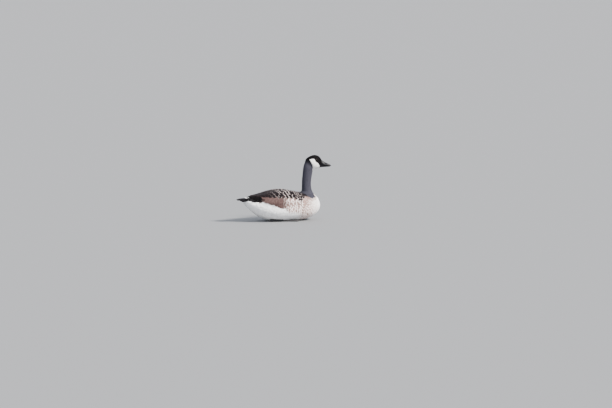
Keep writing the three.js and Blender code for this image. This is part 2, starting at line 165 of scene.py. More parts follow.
# The black neck's lower edge, by the angle round the neck from its front.
SOCK_ANGLES = [0, 30, 60, 90, 120, 150, 180]
SOCK_HEIGHTS = [149, 142, 129, 124, 138, 153, 161]
# The white cheek patch in the head's side view; it meets its twin under the throat.
CHEEK_OUTLINE = np.array([(8, 339), (18, 342), (29.5, 342.7), (35, 337), (40, 327), (49, 320), (58, 313),
                          (64.5, 301), (62, 285), (50, 272), (27, 270), (25, 300), (23, 311), (15, 325)])
# The upper bound of the white stern, along the body.
STERN_X = [-230, -204, -184, -156, -130, -104, -78, -49, -20, -5, 10, 25]
STERN_Z = [128, 122, 113, 110, 109, 100, 89, 80, 73, 62, 40, 0]
# The dark back's lower bound, along the body.
FIELD_X = [-154, -80, -22, 30, 60, 81, 110]
FIELD_Z = [146, 138, 132, 127, 118, 106, 146]

# Ripples in the edges of the markings: the size of a ripple in millimetres, and its seed.
SOCK_RIPPLE = (14, 3)
RUMP_RIPPLE = (20, 4)
CHEEK_RIPPLE = (7, 5)
STERN_RIPPLE = (18, 6)
FIELD_RIPPLE = (22, 7)

# Where markings fade in, from one place along the body to another.
FLANKS_TURN_BROWN = (20, -40)
CHEST_TURNS_PALE = (128, 172)
CHEST_LOSES_BARS = (180, 198)
BACK_BEGINS = (128, 96)
FRINGES_TURN_PALE = (-110, 10)
NAPE_BEGINS = (140, 120)
NAPE_ENDS = (60, 110)
RUMP_BEGINS = (-138, -146)
TAIL_ROOT = (-188, -204)
STERN_BEGINS = (40, 20)
# Where markings fade in, from one height over the floor to another.
# The painted light along the top of the back comes in between these heights.
LIT_TOP_HEIGHT = (140, 155)
NAPE_HEIGHT = (130, 142)
RUMP_HEIGHT = (109, 114)
NECK_HEIGHT = (190, 200)
THROAT_HEIGHT = (258, 266)
HEAD_HEIGHT = (300, 340)
BELLY_HEIGHT = (62, 40)
# How wide the painted light along the top of the back is, and how far from its axis the neck's black reaches.
LIT_TOP_WIDTH = (30, 12)
NECK_REACH = (72, 64)


def inside_by(points, outline):
    """How far places in a plane lie inside a closed outline, less than zero outside it."""
    starts, ends = outline, np.roll(outline, -1, axis=0)
    along = ends - starts
    gap = points[:, None] - starts
    share = np.clip((gap * along).sum(2) / (along ** 2).sum(1), 0, 1)
    distance = np.linalg.norm(gap - along * share[..., None], axis=2).min(1)
    crosses = (starts[:, 1] > points[:, None, 1]) != (ends[:, 1] > points[:, None, 1])
    rise = np.where(along[:, 1] == 0, 1e-9, along[:, 1])
    where = starts[:, 0] + (points[:, None, 1] - starts[:, 1]) / rise * along[:, 0]
    inside = (crosses & (points[:, None, 0] < where)).sum(1) % 2 == 1
    return np.where(inside, distance, -distance)


def neck_reach(points):
    """How far places lie from the neck's upright axis."""
    return np.hypot(points[:, 0] - NECK_AXIS_X, points[:, 1])


def neck_edge(points):
    """How far places lie above the neck's black edge."""
    ahead = points[:, 0] - NECK_AXIS_X
    angle = np.degrees(np.arctan2(np.abs(points[:, 1]), ahead))
    return points[:, 2] - np.interp(angle, SOCK_ANGLES, SOCK_HEIGHTS)


def black_share(points):
    """How far the black of head and neck, or of rump and tail, covers places."""
    x, z = points[:, 0], points[:, 2]
    near = np.maximum(eased(*NECK_REACH, neck_reach(points)), eased(*NECK_HEIGHT, z))
    sock = eased(-1.5, 1.5, neck_edge(points) - 2.0 * waves(points, *SOCK_RIPPLE)) * near
    under_tail = 5 * eased(*TAIL_ROOT, x)
    behind = eased(*RUMP_BEGINS, x + 3 * waves(points, *RUMP_RIPPLE))
    return np.maximum(sock, behind * eased(*RUMP_HEIGHT, z - under_tail))


def cheek_share(points):
    """How far the white cheek patch covers places."""
    at = head_place(points)
    depth = inside_by(at[:, [0, 2]], CHEEK_OUTLINE) + 0.8 * waves(points, *CHEEK_RIPPLE)
    return eased(-0.7, 0.7, depth) * eased(*THROAT_HEIGHT, points[:, 2])


def stern_share(points):
    """How far the white of vent and stern covers places."""
    x, z = points[:, 0], points[:, 2]
    bound = np.interp(x, STERN_X, STERN_Z) + 2.5 * waves(points, *STERN_RIPPLE)
    low = eased(3, -3, z - bound) * eased(*STERN_BEGINS, x)
    underneath = eased(*BELLY_HEIGHT, z) * eased(120, 60, x + 0.5 * z)
    return np.maximum(low, underneath)


def field_share(points):
    """How far the dark back and wings cover places."""
    bound = np.interp(points[:, 0], FIELD_X, FIELD_Z) + 2 * waves(points, *FIELD_RIPPLE)
    return eased(-4, 4, points[:, 2] - bound)


def plumage(points):
    """The two colours of the feathers rooted at places: the feather's own, and its fringe's."""
    x, side, z = points[:, 0], np.abs(points[:, 1]), points[:, 2]
    ones = np.ones((len(points), 1))
    # Painted light: a lighter brown along the top of the back, where the sun falls, with the fringes kept less
    # pale there.
    lit_top = eased(*LIT_TOP_WIDTH, side) * eased(*LIT_TOP_HEIGHT, z)
    back = blended(ones * WING_BROWN, NAPE_AND_LIT_BACK_BROWN, lit_top)
    fringe = blended(ones * REAR_FRINGE, PALE_FRINGE, eased(*FRINGES_TURN_PALE, x) * (1 - 0.5 * lit_top))
    nape = eased(*NAPE_HEIGHT, z) * eased(*NAPE_BEGINS, x) * eased(*NAPE_ENDS, x)
    headed = eased(*HEAD_HEIGHT, z + 0.35 * head_place(points)[:, 0])
    # Down the neck the black carries the painted sheen of sky light; on the head it is plain black.
    sock = blended(ones * NECK_BLACK_WITH_PAINTED_SHEEN, HEAD_BLACK, headed)
    black = np.where((x < 0)[:, None], TAIL_BLACK, sock)
    markings = (
        (eased(*FLANKS_TURN_BROWN, x), FLANK_BROWN, FLANK_FRINGE),
        (eased(*CHEST_TURNS_PALE, x), BREAST_BAR, BREAST_PALE),
        (eased(*CHEST_LOSES_BARS, x), BREAST_PALE, BREAST_PALE),
        (field_share(points) * eased(*BACK_BEGINS, x), back, fringe),
        (nape, NAPE_AND_LIT_BACK_BROWN * 1.15, REAR_FRINGE),
        (stern_share(points), VENT_WHITE, VENT_WHITE),
        (black_share(points), black, black * 1.25),
        (cheek_share(points), CHEEK_WHITE, CHEEK_WHITE),
    )
    own, edge = ones * SIDE_MOTTLE, ones * SIDE_PALE
    for share, feather, rim in markings:
        own = blended(own, feather, share)
        edge = blended(edge, rim, share)
    return own, edge


# Materials.

def new_material(name, roughness, specular=0.5, sheen=0.0):
    """A material with its shader, and what is the same all over it."""
    made = bpy.data.materials.new(name)
    made.use_nodes = True
    shader = made.node_tree.nodes["Principled BSDF"]
    shader.inputs["Roughness"].default_value = roughness
    shader.inputs["Specular IOR Level"].default_value = specular
    shader.inputs["Sheen Weight"].default_value = sheen
    shader.inputs["Sheen Roughness"].default_value = 0.5
    return made, shader


def node(tree, kind, settings=None, **links):
    """A node with its settings and its inputs, each a value or another node's output.

    An input goes by its name, with low lines for spaces, or by i and its number."""
    made = tree.nodes.new(kind)
    for key, value in (settings or {}).items():
        setattr(made, key, value)
    for key, value in links.items():
        numbered = key[0] == "i" and key[1:].isdigit()
        socket = made.inputs[int(key[1:]) if numbered else key.replace("_", " ")]
        if isinstance(value, bpy.types.NodeSocket):
            tree.links.new(value, socket)
        else:
            socket.default_value = value
    return made


def calc(tree, operation, first, second=0.0, third=0.0):
    """One sum on values."""
    return node(tree, "ShaderNodeMath", {"operation": operation}, i0=first, i1=second, i2=third).outputs[0]


def ramped(tree, value, low, high):
    """A smooth rise from 0 at low to 1 at high."""
    bounds = {"From_Min": low, "From_Max": high}
    smooth = {"interpolation_type": "SMOOTHSTEP"}
    return node(tree, "ShaderNodeMapRange", smooth, Value=value, **bounds).outputs[0]


def mixed(tree, share, first, second, way="MIX"):
    """Two colours mixed."""
    kind = {"data_type": "RGBA", "blend_type": way}
    return node(tree, "ShaderNodeMix", kind, i0=share, i6=first, i7=second).outputs[2]


def noise(tree, scale, detail):
    """A soft random value over the piece's own places."""
    place = node(tree, "ShaderNodeTexCoord").outputs["Object"]
    return node(tree, "ShaderNodeTexNoise", Vector=place, Scale=scale, Detail=detail).outputs["Fac"]


def marked(tree, name, output="Fac"):
    """A value or colour that the mesh carries under a name."""
    return node(tree, "ShaderNodeAttribute", {"attribute_name": name}).outputs[output]


def shaded(tree, colour, shade):
    """A colour made lighter or darker by a value."""
    grey = node(tree, "ShaderNodeCombineColor", i0=shade, i1=shade, i2=shade).outputs[0]
    return mixed(tree, 1.0, colour, grey, "MULTIPLY")


def raised(tree, shader, height, strength, distance):
    """Gives a shader the fine relief of a height."""
    relief = node(tree, "ShaderNodeBump", Strength=strength, Distance=distance, Height=height).outputs[0]
    tree.links.new(relief, shader.inputs["Normal"])


def centred(tree, value, reach):
    """A value that runs from 0 to 1, turned to swing about 0 by a reach."""
    return calc(tree, "MULTIPLY", calc(tree, "SUBTRACT", value, 0.5), reach)


def fringe_share(tree, across, along):
    """How far a vane's fringe covers it: a curved band at the tip, and thin edges on the sides."""
    width = marked(tree, "fringe")
    reach = calc(tree, "ADD", along, centred(tree, noise(tree, 520.0, 2.0), 0.07))
    bend = calc(tree, "MULTIPLY", calc(tree, "POWER", across, 2.0), 0.16)
    reach = calc(tree, "ADD", reach, bend)
    start = calc(tree, "SUBTRACT", 1.0, width)
    tip = ramped(tree, reach, calc(tree, "SUBTRACT", start, 0.05), calc(tree, "ADD", start, 0.07))
    side = ramped(tree, across, 0.80, 0.97)
    side = calc(tree, "MULTIPLY", side, ramped(tree, along, 0.35, 0.75))
    side = calc(tree, "MULTIPLY", side, ramped(tree, width, 0.0, 0.1))
    return calc(tree, "MAXIMUM", tip, side)


def feather_material(name, barbs, shaft=0.0, roughness=0.72, sheen=0.12, streak=0.10, bump=0.25):
    """Feathers: their own colour, a fringe from the vane's map, barbs that slant off the shaft, and painted
    shade towards the root.
    """
    made, shader = new_material(name, roughness, specular=0.05, sheen=sheen)
    tree = made.node_tree
    vane = node(tree, "ShaderNodeUVMap", {"uv_map": "vane"}).outputs["UV"]
    axes = node(tree, "ShaderNodeSeparateXYZ", i0=vane)
    across = calc(tree, "ABSOLUTE", calc(tree, "MULTIPLY_ADD", axes.outputs[0], 2.0, -1.0))
    along = axes.outputs[1]
    fringe = fringe_share(tree, across, along)
    colour = mixed(tree, fringe, marked(tree, "own", "Color"), marked(tree, "edge", "Color"))
    count = calc(tree, "MULTIPLY_ADD", along, barbs, calc(tree, "MULTIPLY", across, -barbs * 0.35))
    barb = calc(tree, "SINE", calc(tree, "MULTIPLY", count, 2 * math.pi))
    shade = calc(tree, "MULTIPLY_ADD", barb, streak * 0.4, 1.0)
    shade = calc(tree, "ADD", shade, centred(tree, noise(tree, 900.0, 1.0), streak * 2))
    # Painted shade: each vane darkens by up to a fifth towards its root, where the feathers before it lie over
    # it.
    under = calc(tree, "MULTIPLY_ADD", ramped(tree, along, 0.0, 0.5), 0.2, 0.8)
    colour = shaded(tree, colour, calc(tree, "MULTIPLY", shade, under))
    if shaft:
        line = calc(tree, "MULTIPLY", ramped(tree, across, 0.07, 0.02), shaft)
        colour = mixed(tree, line, colour, (0.02, 0.015, 0.012, 1.0))
    tree.links.new(colour, shader.inputs["Base Color"])
    raised(tree, shader, barb, bump, 0.0004)
    return made


def surface_material(name, dark, light, size, roughness, depth, specular=0.5, cells=False):
    """Horn or leather: two near colours in soft patches, with a fine relief."""
    made, shader = new_material(name, roughness, specular)
    tree = made.node_tree
    patches = noise(tree, 1 / size, 4.0)
    colour = mixed(tree, patches, (*dark, 1.0), (*light, 1.0))
    tree.links.new(colour, shader.inputs["Base Color"])
    if cells:
        place = node(tree, "ShaderNodeTexCoord").outputs["Object"]
        edges = {"feature": "DISTANCE_TO_EDGE"}
        gap = node(tree, "ShaderNodeTexVoronoi", edges, Vector=place, Scale=0.45 / size).outputs["Distance"]
        height = ramped(tree, gap, 0.0, 0.12)
    else:
        height = noise(tree, 4 / size, 6.0)
    raised(tree, shader, height, 0.5, depth)
    spread = calc(tree, "MULTIPLY_ADD", patches, 0.2, roughness - 0.1)
    tree.links.new(spread, shader.inputs["Roughness"])
    return made


def skin_material():
    """The skin between the feathers' roots, with the same markings as the coat."""
    made, shader = new_material("skin_down", 0.9, 0.2)
    tree = made.node_tree
    down = noise(tree, 700.0, 3.0)
    shade = calc(tree, "MULTIPLY_ADD", down, 0.5, 0.45)
    colour = shaded(tree, marked(tree, "own", "Color"), shade)
    tree.links.new(colour, shader.inputs["Base Color"])
    raised(tree, shader, down, 0.4, 0.0006)
    return made


def eye_material():
    """A dark brown iris round a black pupil, under a clear wet surface."""
    made, shader = new_material("eye_wet", 0.05, 0.12)
    tree = made.node_tree
    ring = marked(tree, "ring")
    fleck = noise(tree, 1800.0, 2.0)
    iris = mixed(tree, fleck, (0.005, 0.0026, 0.0016, 1.0), (0.015, 0.0075, 0.004, 1.0))
    colour = mixed(tree, ramped(tree, ring, 0.38, 0.42), (0.002, 0.002, 0.002, 1.0), iris)
    colour = mixed(tree, ramped(tree, ring, 0.62, 0.74), colour, (0.008, 0.005, 0.004, 1.0))
    tree.links.new(colour, shader.inputs["Base Color"])
    return made


# Meshes.

def mesh_object(name, points, faces):
    """A smooth mesh piece from places in millimetres."""
    mesh = bpy.data.meshes.new(name)
    mesh.from_pydata(metres(points).tolist(), [], faces)
    mesh.validate()
    mesh.update()
    made = bpy.data.objects.new(name, mesh)
    bpy.context.scene.collection.objects.link(made)
    mesh.shade_smooth()
    return made


def select_only(*objects):
    """Makes these objects the selected ones, the first of them active."""
    bpy.ops.object.select_all(action="DESELECT")
    for each in objects:
        each.hide_viewport = False
        each.select_set(True)
    bpy.context.view_layer.objects.active = objects[0]


def node_copy(name, growth=0.0, cut_at=None):
    """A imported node's shape as a new object, its doubles merged, grown a little, cut short behind a place."""
    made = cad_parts[name].copy()
    made.data = made.data.copy()
    for key in list(made.keys()):
        del made[key]
    made.parent = None
    made.data.materials.clear()
    bpy.context.scene.collection.objects.link(made)
    made.hide_render = False
    shape = bmesh.new()
    shape.from_mesh(made.data)
    bmesh.ops.remove_doubles(shape, verts=shape.verts, dist=1e-5)
    if cut_at is not None:
        everything = [*shape.verts, *shape.edges, *shape.faces]
        cut = metres([(cut_at, 0, 0)])[0]
        bmesh.ops.bisect_plane(shape, geom=everything, plane_co=cut, plane_no=(-1, 0, 0), clear_outer=True)
        bmesh.ops.holes_fill(shape, edges=[edge for edge in shape.edges if edge.is_boundary])
    bmesh.ops.recalc_face_normals(shape, faces=shape.faces)
    shape.normal_update()
    if growth:
        for vert in shape.verts:
            vert.co += vert.normal * growth / 1000
    shape.to_mesh(made.data)
    shape.free()
    return made


def smoothed(piece, times, group=""):
    """Evens a piece out, where a vertex group is named only as far as the group says."""
    smooth = piece.modifiers.new("even", "SMOOTH")
    smooth.factor = 0.5
    smooth.iterations = times
    smooth.vertex_group = group
    bpy.ops.object.modifier_apply(modifier=smooth.name)


def remeshed(piece, voxel, smoothings):
    """Makes a piece one closed surface, evened out."""
    select_only(piece)
    remesh = piece.modifiers.new("one_surface", "REMESH")
    remesh.mode = "VOXEL"
    remesh.voxel_size = voxel / 1000
    bpy.ops.object.modifier_apply(modifier=remesh.name)
    smoothed(piece, smoothings)
    piece.data.shade_smooth()


def joined(name, pieces):
    """Makes several pieces one, under a new name."""
    select_only(*pieces)
    bpy.ops.object.join()
    whole = bpy.context.view_layer.objects.active
    whole.name = whole.data.name = name
    return whole


def vertex_places(piece):
    """A piece's vertices in millimetres."""
    flat = np.empty(len(piece.data.vertices) * 3)
    piece.data.vertices.foreach_get("co", flat)
    return millimetres(flat.reshape(-1, 3))


def vertex_normals(piece):
    """A piece's vertex normals."""
    flat = np.empty(len(piece.data.vertices) * 3, np.float32)
    piece.data.vertex_normals.foreach_get("vector", flat)
    return flat.reshape(-1, 3).astype(float)


def put_vertices(piece, points):
    """Moves a piece's vertices to places in millimetres."""
    piece.data.vertices.foreach_set("co", metres(points).ravel())
    piece.data.update()


def finish_piece(piece, material, slot, *nodes):
    """Gives a piece its material, sets it on the root and hides the imported nodes it replaces; the slot is not
    used.
    """
    piece.data.materials.clear()
    piece.data.materials.append(material)
    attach(piece, "root")
    if nodes:
        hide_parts(*nodes)


# The skin.

def coat_depth(points):
    """How thick the coat lies over the skin at places."""
    x, z = points[:, 0], points[:, 2]
    depth = BODY_COAT + (NECK_COAT - BODY_COAT) * eased(140, 185, z)
    depth -= 1.0 * eased(70, 100, x) * eased(150, 130, z)
    depth = depth + (HEAD_COAT - depth) * eased(272, 305, z)
    thin = eased(-150, -195, x) * eased(104, 116, z)
    return depth * (1 - 0.45 * thin)


# The face's own form: a rise or a hollow, its place forward and up in the head's frame, and its reach.
BROW = (0.8, 47, 350, 6)
LORES = (-1.0, 62, 331, 6)
CHEEK = (0.9, 30, 318, 10)
GAPE = (-0.5, 66, 306, 5)
EYE_SOCKET = (-1.1, EYE_PLACE[0], EYE_PLACE[2], 8)


def face_relief(points):
    """How far the face stands out from the plain head."""
    at = head_place(points)
    total = np.zeros(len(points))
    for rise, forward, up, reach in (LORES, BROW, CHEEK, GAPE, EYE_SOCKET):
        gap = (at[:, 0] - forward) ** 2 + (at[:, 2] - up) ** 2
        total += rise * np.exp(-gap / (2 * reach ** 2))
    return total * eased(6, 12, np.abs(at[:, 1]))


def grown_body():
    """One closed surface over the flesh and what grows from it, a little larger than the solids."""
    whole = ("trunk", "neck", "head", "eye_left", "eye_right", "bill_upper", "bill_lower")
    cut = {"wing_left": WING_SKIN_END, "wing_right": WING_SKIN_END, "tail": TAIL_SKIN_END}
    copies = [node_copy(name, SKIN_GROWTH) for name in whole]
    copies += [node_copy(name, SKIN_GROWTH, end) for name, end in cut.items()]
    skin = joined("skin", copies)
    remeshed(skin, SKIN_VOXEL, 24)
    points = vertex_places(skin)
    weight = eased(135, 115, points[:, 2]) * eased(96, 80, points[:, 0])
    body = skin.vertex_groups.new(name="body")
    for share in (0.25, 0.5, 0.75, 1.0):
        body.add(np.nonzero(weight >= share)[0].tolist(), share, "REPLACE")
    smoothed(skin, 60, body.name)
    skin.vertex_groups.clear()
    return skin


def drawn_into_bill(points):
    """The skin with its snout squeezed to end inside the bill's base, and which points lie near there."""
    at = head_place(points)
    snout = at[:, 0] > BILL_BASE_X
    at[snout, 0] = BILL_BASE_X + 0.1 * (at[snout, 0] - BILL_BASE_X)
    nearing = eased(BILL_BASE_X - 6, BILL_BASE_X - 1, at[:, 0])
    height = at[:, 2] - BILL_AXIS_Z
    at[:, 1] *= 1 - 0.16 * nearing
    at[:, 2] -= height * nearing * np.where(height < 0, 0.30, 0.16)
    face = at[:, 0] > BILL_BASE_X - 7
    points[face] = from_head(at[face])
    margin = (at[:, 0] > BILL_BASE_X - 9) & (points[:, 2] > 280)
    return points, np.nonzero(margin)[0].tolist()


def make_skin():
    """One skin over trunk, neck, head, wings and tail, drawn in by the coat's depth."""
    skin = grown_body()
    stages = 4
    for _ in range(stages):
        points = vertex_places(skin)
        draw = coat_depth(points) + SKIN_GROWTH - face_relief(points)
        points -= vertex_normals(skin) * (draw / stages)[:, None]
        put_vertices(skin, points)
    points[:, 2] = np.maximum(points[:, 2], 1.2)
    points, margin = drawn_into_bill(points)
    put_vertices(skin, points)
    shape = bmesh.new()
    shape.from_mesh(skin.data)
    shape.verts.ensure_lookup_table()
    soft = [shape.verts[index] for index in margin]
    axes = {"use_axis_x": True, "use_axis_y": True, "use_axis_z": True}
    for _ in range(10):
        bmesh.ops.smooth_vert(shape, verts=soft, factor=0.5, **axes)
    shape.to_mesh(skin.data)
    shape.free()
    skin.data.shade_smooth()
    return skin


def spaced_out(points, gaps):
    """Which places, taken in turn, keep their own gap from all that are kept before them."""
    cell = gaps.max()
    around = [(a, b, c) for a in (-1, 0, 1) for b in (-1, 0, 1) for c in (-1, 0, 1)]
    kept, cells = [], {}
    keys = np.floor(points / cell).astype(int).tolist()
    for index, ((x, y, z), (a, b, c)) in enumerate(zip(points.tolist(), keys)):
        limit = gaps[index] ** 2
        near = (other for u, v, w in around for other in cells.get((a + u, b + v, c + w), ()))
        if all((p - x) ** 2 + (q - y) ** 2 + (r - z) ** 2 >= limit for p, q, r in near):
            cells.setdefault((a, b, c), []).append((x, y, z))
            kept.append(index)
    return kept


class Surface:
    """A surface that places are brought onto, with its normals read smoothly between vertices."""

    def __init__(self, piece):
        self.points = vertex_places(piece)
        self.normals = vertex_normals(piece)
        piece.data.calc_loop_triangles()
        corners = np.empty(len(piece.data.loop_triangles) * 3, np.int32)
        piece.data.loop_triangles.foreach_get("vertices", corners)
        self.faces = corners.reshape(-1, 3)
        self.tree = BVHTree.FromPolygons(self.points.tolist(), self.faces.tolist())

    def onto(self, points):
        """The nearest places on the surface and the normals there."""
        find = self.tree.find_nearest
        found = [find(point) for point in points.tolist()]
        where = np.array([hit[0][:] for hit in found])
        corners = self.faces[[hit[2] for hit in found]]
        gaps = ((self.points[corners] - where[:, None]) ** 2).sum(2)
        weights = 1 / (gaps + 0.3)
        return where, unit((self.normals[corners] * weights[..., None]).sum(1))

    def cast(self, starts, ways):
        """Where lines from outside first meet the surface."""
        ray = self.tree.ray_cast
        found = [ray(start, way) for start, way in zip(starts.tolist(), ways.tolist())]
        hit = np.array([each[0] is not None for each in found])
        where = np.array([each[0][:] if each[0] is not None else (0, 0, 0) for each in found], float)
        return where, hit

    def scattered(self, spacing, keep, seed):
        """Places over the part of the surface that keep() holds, about a spacing apart."""
        dice = np.random.default_rng(seed)
        corners = self.points[self.faces]
        middle = corners.mean(1)
        faces = np.nonzero(keep(middle))[0]
        first_edge = corners[faces, 1] - corners[faces, 0]
        second_edge = corners[faces, 2] - corners[faces, 0]
        area = np.linalg.norm(np.cross(first_edge, second_edge), axis=1) / 2
        share = area / spacing(middle[faces]) ** 2
        count = int(share.sum() * 4)
        picked = dice.choice(len(faces), count, p=share / share.sum())
        first, second = dice.random((2, count))
        over = first + second > 1
        first, second = np.where(over, 1 - first, first), np.where(over, 1 - second, second)
        points = corners[faces[picked], 0]
        points = points + first[:, None] * first_edge[picked] + second[:, None] * second_edge[picked]
        points = points[keep(points)]
        return points[spaced_out(points, spacing(points))]


def eye_axis(side):
    """An eye's centre, and the way it looks out of the head."""
    forward, aside, up = EYE_PLACE
    centre = from_head([(forward, aside * side, up)])[0]
    out = from_head([(forward + 1.5, (aside + 10) * side, up + 1.0)])[0] - centre
    return centre, out / np.linalg.norm(out)


def lie_of_coat(points):
    """The way the feathers point at places: back over the head, down the neck, tailward on the body."""
    x, side, z = points[:, 0], np.abs(points[:, 1]), points[:, 2]
    ones = np.ones((len(points), 1))
    tailward = ones * (-1.0, 0.0, -0.06)
    underneath = ones * (-0.75, 0.0, -0.9)
    outward = unit((points - (NECK_AXIS_X, 0, 0)) * (1, 1, 0))
    down_neck = ones * (-0.04, 0.0, -1.0) + outward * (0.9 * eased(180, 150, z))[:, None]
    front = blended(underneath, down_neck, eased(78, 116, z))
    ways = blended(tailward, front, eased(92, 150, x))
    ways = blended(ways, down_neck, eased(118, 150, z) * eased(84, 104, x))
    over_head = from_head([[-1.0, 0.0, -0.32]])[0] - from_head([[0.0, 0.0, 0.0]])[0]
    ways = blended(ways, over_head, eased(289, 318, z + 0.25 * head_place(points)[:, 0]))
    flank = eased(88, 118, z) * eased(-120, -60, x) * eased(90, 60, x)
    ways[:, 2] += 0.10 * flank * eased(60, 90, side)
    for eye in (1, -1):
        centre, out = eye_axis(eye)
        gap = points - centre
        ahead = gap @ out
        gap -= out * (ahead * (ahead > 0))[:, None]
        ways += unit(gap) * (0.75 * eased(15, 7, np.linalg.norm(gap, axis=1)))[:, None]
    return unit(ways)


def body_unwrap(points):
    """A place on the body's unwrap: along it, and round it from underneath."""
    angle = np.arctan2(points[:, 1], -(points[:, 2] - BODY_AXIS_Z))
    return np.stack([points[:, 0], angle], 1)


def neck_unwrap(points):
    """A place on the neck's and head's unwrap: up it, and round it from behind."""
    at = head_place(points)
    headed = eased(270, 320, points[:, 2])
    angle = np.arctan2(at[:, 1], at[:, 0] - 24 * headed)
    return np.stack([angle, points[:, 2] + 0.35 * np.clip(at[:, 0], 0, 80) * headed], 1)


def flat_unwrap(points):
    """A place on the tail's unwrap: the tail seen from above."""
    return points[:, :2]


def soft_tip(root, tip_from, tip_to, narrowing, power):
    """A half width along a small close feather: full from its root on, then narrowed to a soft point."""
    def width(along):
        base = 0.6 + 0.4 * eased(0, root, along)
        return base * (1 - narrowing * eased(tip_from, tip_to, along) ** power)
    return width


def rounded_tip(base, root, tip_from, tip_long, power):
    """A half width along a feather: even from its root on, then rounded off at the tip."""
    def width(along):
        tip = np.clip((along - tip_from) / tip_long, 0, 1)
        return (base + (1 - base) * eased(0, root, along)) * np.sqrt(np.maximum(1 - tip ** power, 0))
    return width


# Head feathers are narrow, neck feathers blunt, contour feathers round, those of back and flank broad,
# and flight feathers long blades.
FINE_TIP = soft_tip(0.35, 0.38, 1.06, 0.78, 1.3)
CLOSE_TIP = soft_tip(0.35, 0.45, 1.05, 0.72, 1.5)
ROUND_TIP = rounded_tip(0.5, 0.5, 0.5, 0.52, 2.5)
BROAD_TIP = rounded_tip(0.5, 0.55, 0.62, 0.39, 3.4)
BLADE_TIP = rounded_tip(0.7, 0.3, 0.72, 0.285, 2.2)


def lying_vanes(surface, roots, ways, length, width, lift, rows, columns, outline, crown,
                ragged=0.0, jitter=0.08, turn=0.0):
    """Thin vanes that lie along a surface from their roots, as a grid of places for each.

    A vane has a row of places at each share of its length, and rises from its root to its tip by lift.
    The crown is its swell across, ragged its uneven tip, and jitter and turn its chance size and way."""
    count = len(roots)
    dice = np.random.default_rng(count + 17)

    def chance():
        return dice.normal(size=count).clip(-2, 2)

    length = np.broadcast_to(length, count) * (1 + jitter * chance())
    width = np.broadcast_to(width, count) * (1 + jitter * 0.7 * chance())
    low, high = (np.broadcast_to(each, count) for each in lift)
    tilt = 1 + 0.12 * chance()
    shares = np.linspace(-1, 1, columns + 1)
    spots, normals = surface.onto(roots)
    ways = unit(ways - normals * (ways * normals).sum(1, keepdims=True))
    if turn:
        aside = np.cross(normals, ways)
        ways = unit(ways + aside * (turn * dice.normal(size=count))[:, None])
    grid = np.empty((count, len(rows), columns + 1, 3))
    before = 0.0
    for place, step in enumerate(rows):
        if place:
            spots, normals = surface.onto(spots + ways * ((step - before) * length)[:, None])
            ways = unit(ways - normals * (ways * normals).sum(1, keepdims=True))
        before = step
        side = np.cross(normals, ways)
        half = width / 2 * outline(step)
        rise = low + (high - low) * tilt * step ** 0.85
        for column, share in enumerate(shares):
            spot = spots + side * (half * share)[:, None]
            if ragged:
                slip = ragged * length * dice.normal(size=count).clip(-1.5, 1.5) * step ** 3
                spot = spot + ways * slip[:, None]
            facing = normals
            if abs(share) > 0.01:
                spot, facing = surface.onto(spot)
            swell = crown * width * (1 - share * share)
            grid[:, place, column] = spot + facing * (rise + swell)[:, None]
    return grid


# Where along a vane of so many rows its own place is read for its markings.
SHOWN_ROW = {4: 2, 6: 3, 7: 4, 11: 7}


def vane_mesh(name, grid):
    """A mesh of all the vanes of a grid, each a curved face closed underneath and at both ends."""
    count, rows, wide = grid.shape[:3]
    number = np.arange(rows * wide).reshape(rows, wide)
    top = np.stack([number[:-1, :-1], number[:-1, 1:], number[1:, 1:], number[1:, :-1]], -1).reshape(-1, 4)
    under = np.stack([number[:-1, 0], number[1:, 0], number[1:, -1], number[:-1, -1]], -1)
    quads = np.concatenate([top, under])
    caps = np.stack([number[0, ::-1], number[-1]])
    shift = (np.arange(count) * number.size)[:, None, None]
    corners = np.concatenate([(quads + shift).reshape(-1), (caps + shift).reshape(-1)])
    sizes = np.concatenate([np.full(count * len(quads), 4), np.full(count * 2, wide)])
    starts = np.concatenate([[0], np.cumsum(sizes)[:-1]])
    mesh = bpy.data.meshes.new(name)
    mesh.vertices.add(count * number.size)
    mesh.vertices.foreach_set("co", metres(grid.reshape(-1, 3)).ravel())
    mesh.loops.add(len(corners))
    mesh.loops.foreach_set("vertex_index", corners.astype(np.int32))
    mesh.polygons.add(len(sizes))
    mesh.polygons.foreach_set("loop_start", starts.astype(np.int32))
    mesh.polygons.foreach_set("loop_total", sizes.astype(np.int32))
    mesh.update(calc_edges=True)
    mesh.validate()
    capped = np.arange(len(corners)) >= count * quads.size
    return mesh, corners, capped


def add_vane_maps(mesh, corners, capped, rows, wide, flat, patch):
    """A map along and across each vane, and one patch for each at its root's place on the unwrap."""
    across = np.broadcast_to((np.linspace(-1, 1, wide) + 1) / 2, (len(rows), wide))
    along = np.broadcast_to(np.asarray(rows, float)[:, None], (len(rows), wide))
    vane = np.stack([across, along], -1).reshape(-1, 2)
    local = vane[corners % len(vane)].copy()
    inner = capped & (local[:, 0] > 0.01) & (local[:, 0] < 0.99)
    local[inner, 1] += np.where(local[inner, 1] > 0.5, -0.25, 0.25)
    low, high = flat.min(0), flat.max(0)
    flat = 0.03 + 0.94 * (flat - low) / np.maximum(high - low, 1e-6)
    baked = np.clip(flat[corners // len(vane)] + (local - 0.5) * patch, 0.001, 0.999)
    for name, places in (("vane", local), ("OFBake", baked)):
        layer = mesh.uv_layers.new(name=name)
        layer.data.foreach_set("uv", places.astype(np.float32).ravel())


def add_values(mesh, name, values):
    """Marks each vertex of a mesh with a value, or with a colour."""
    values = np.asarray(values, np.float32)
    kind, key = ("FLOAT", "value") if values.ndim == 1 else ("FLOAT_COLOR", "color")
    if values.ndim == 2:
        values = np.concatenate([values.clip(0, 1), np.ones((len(values), 1), np.float32)], 1)
    attribute = mesh.attributes.new(name, kind, "POINT")
    attribute.data.foreach_set(key, values.ravel())


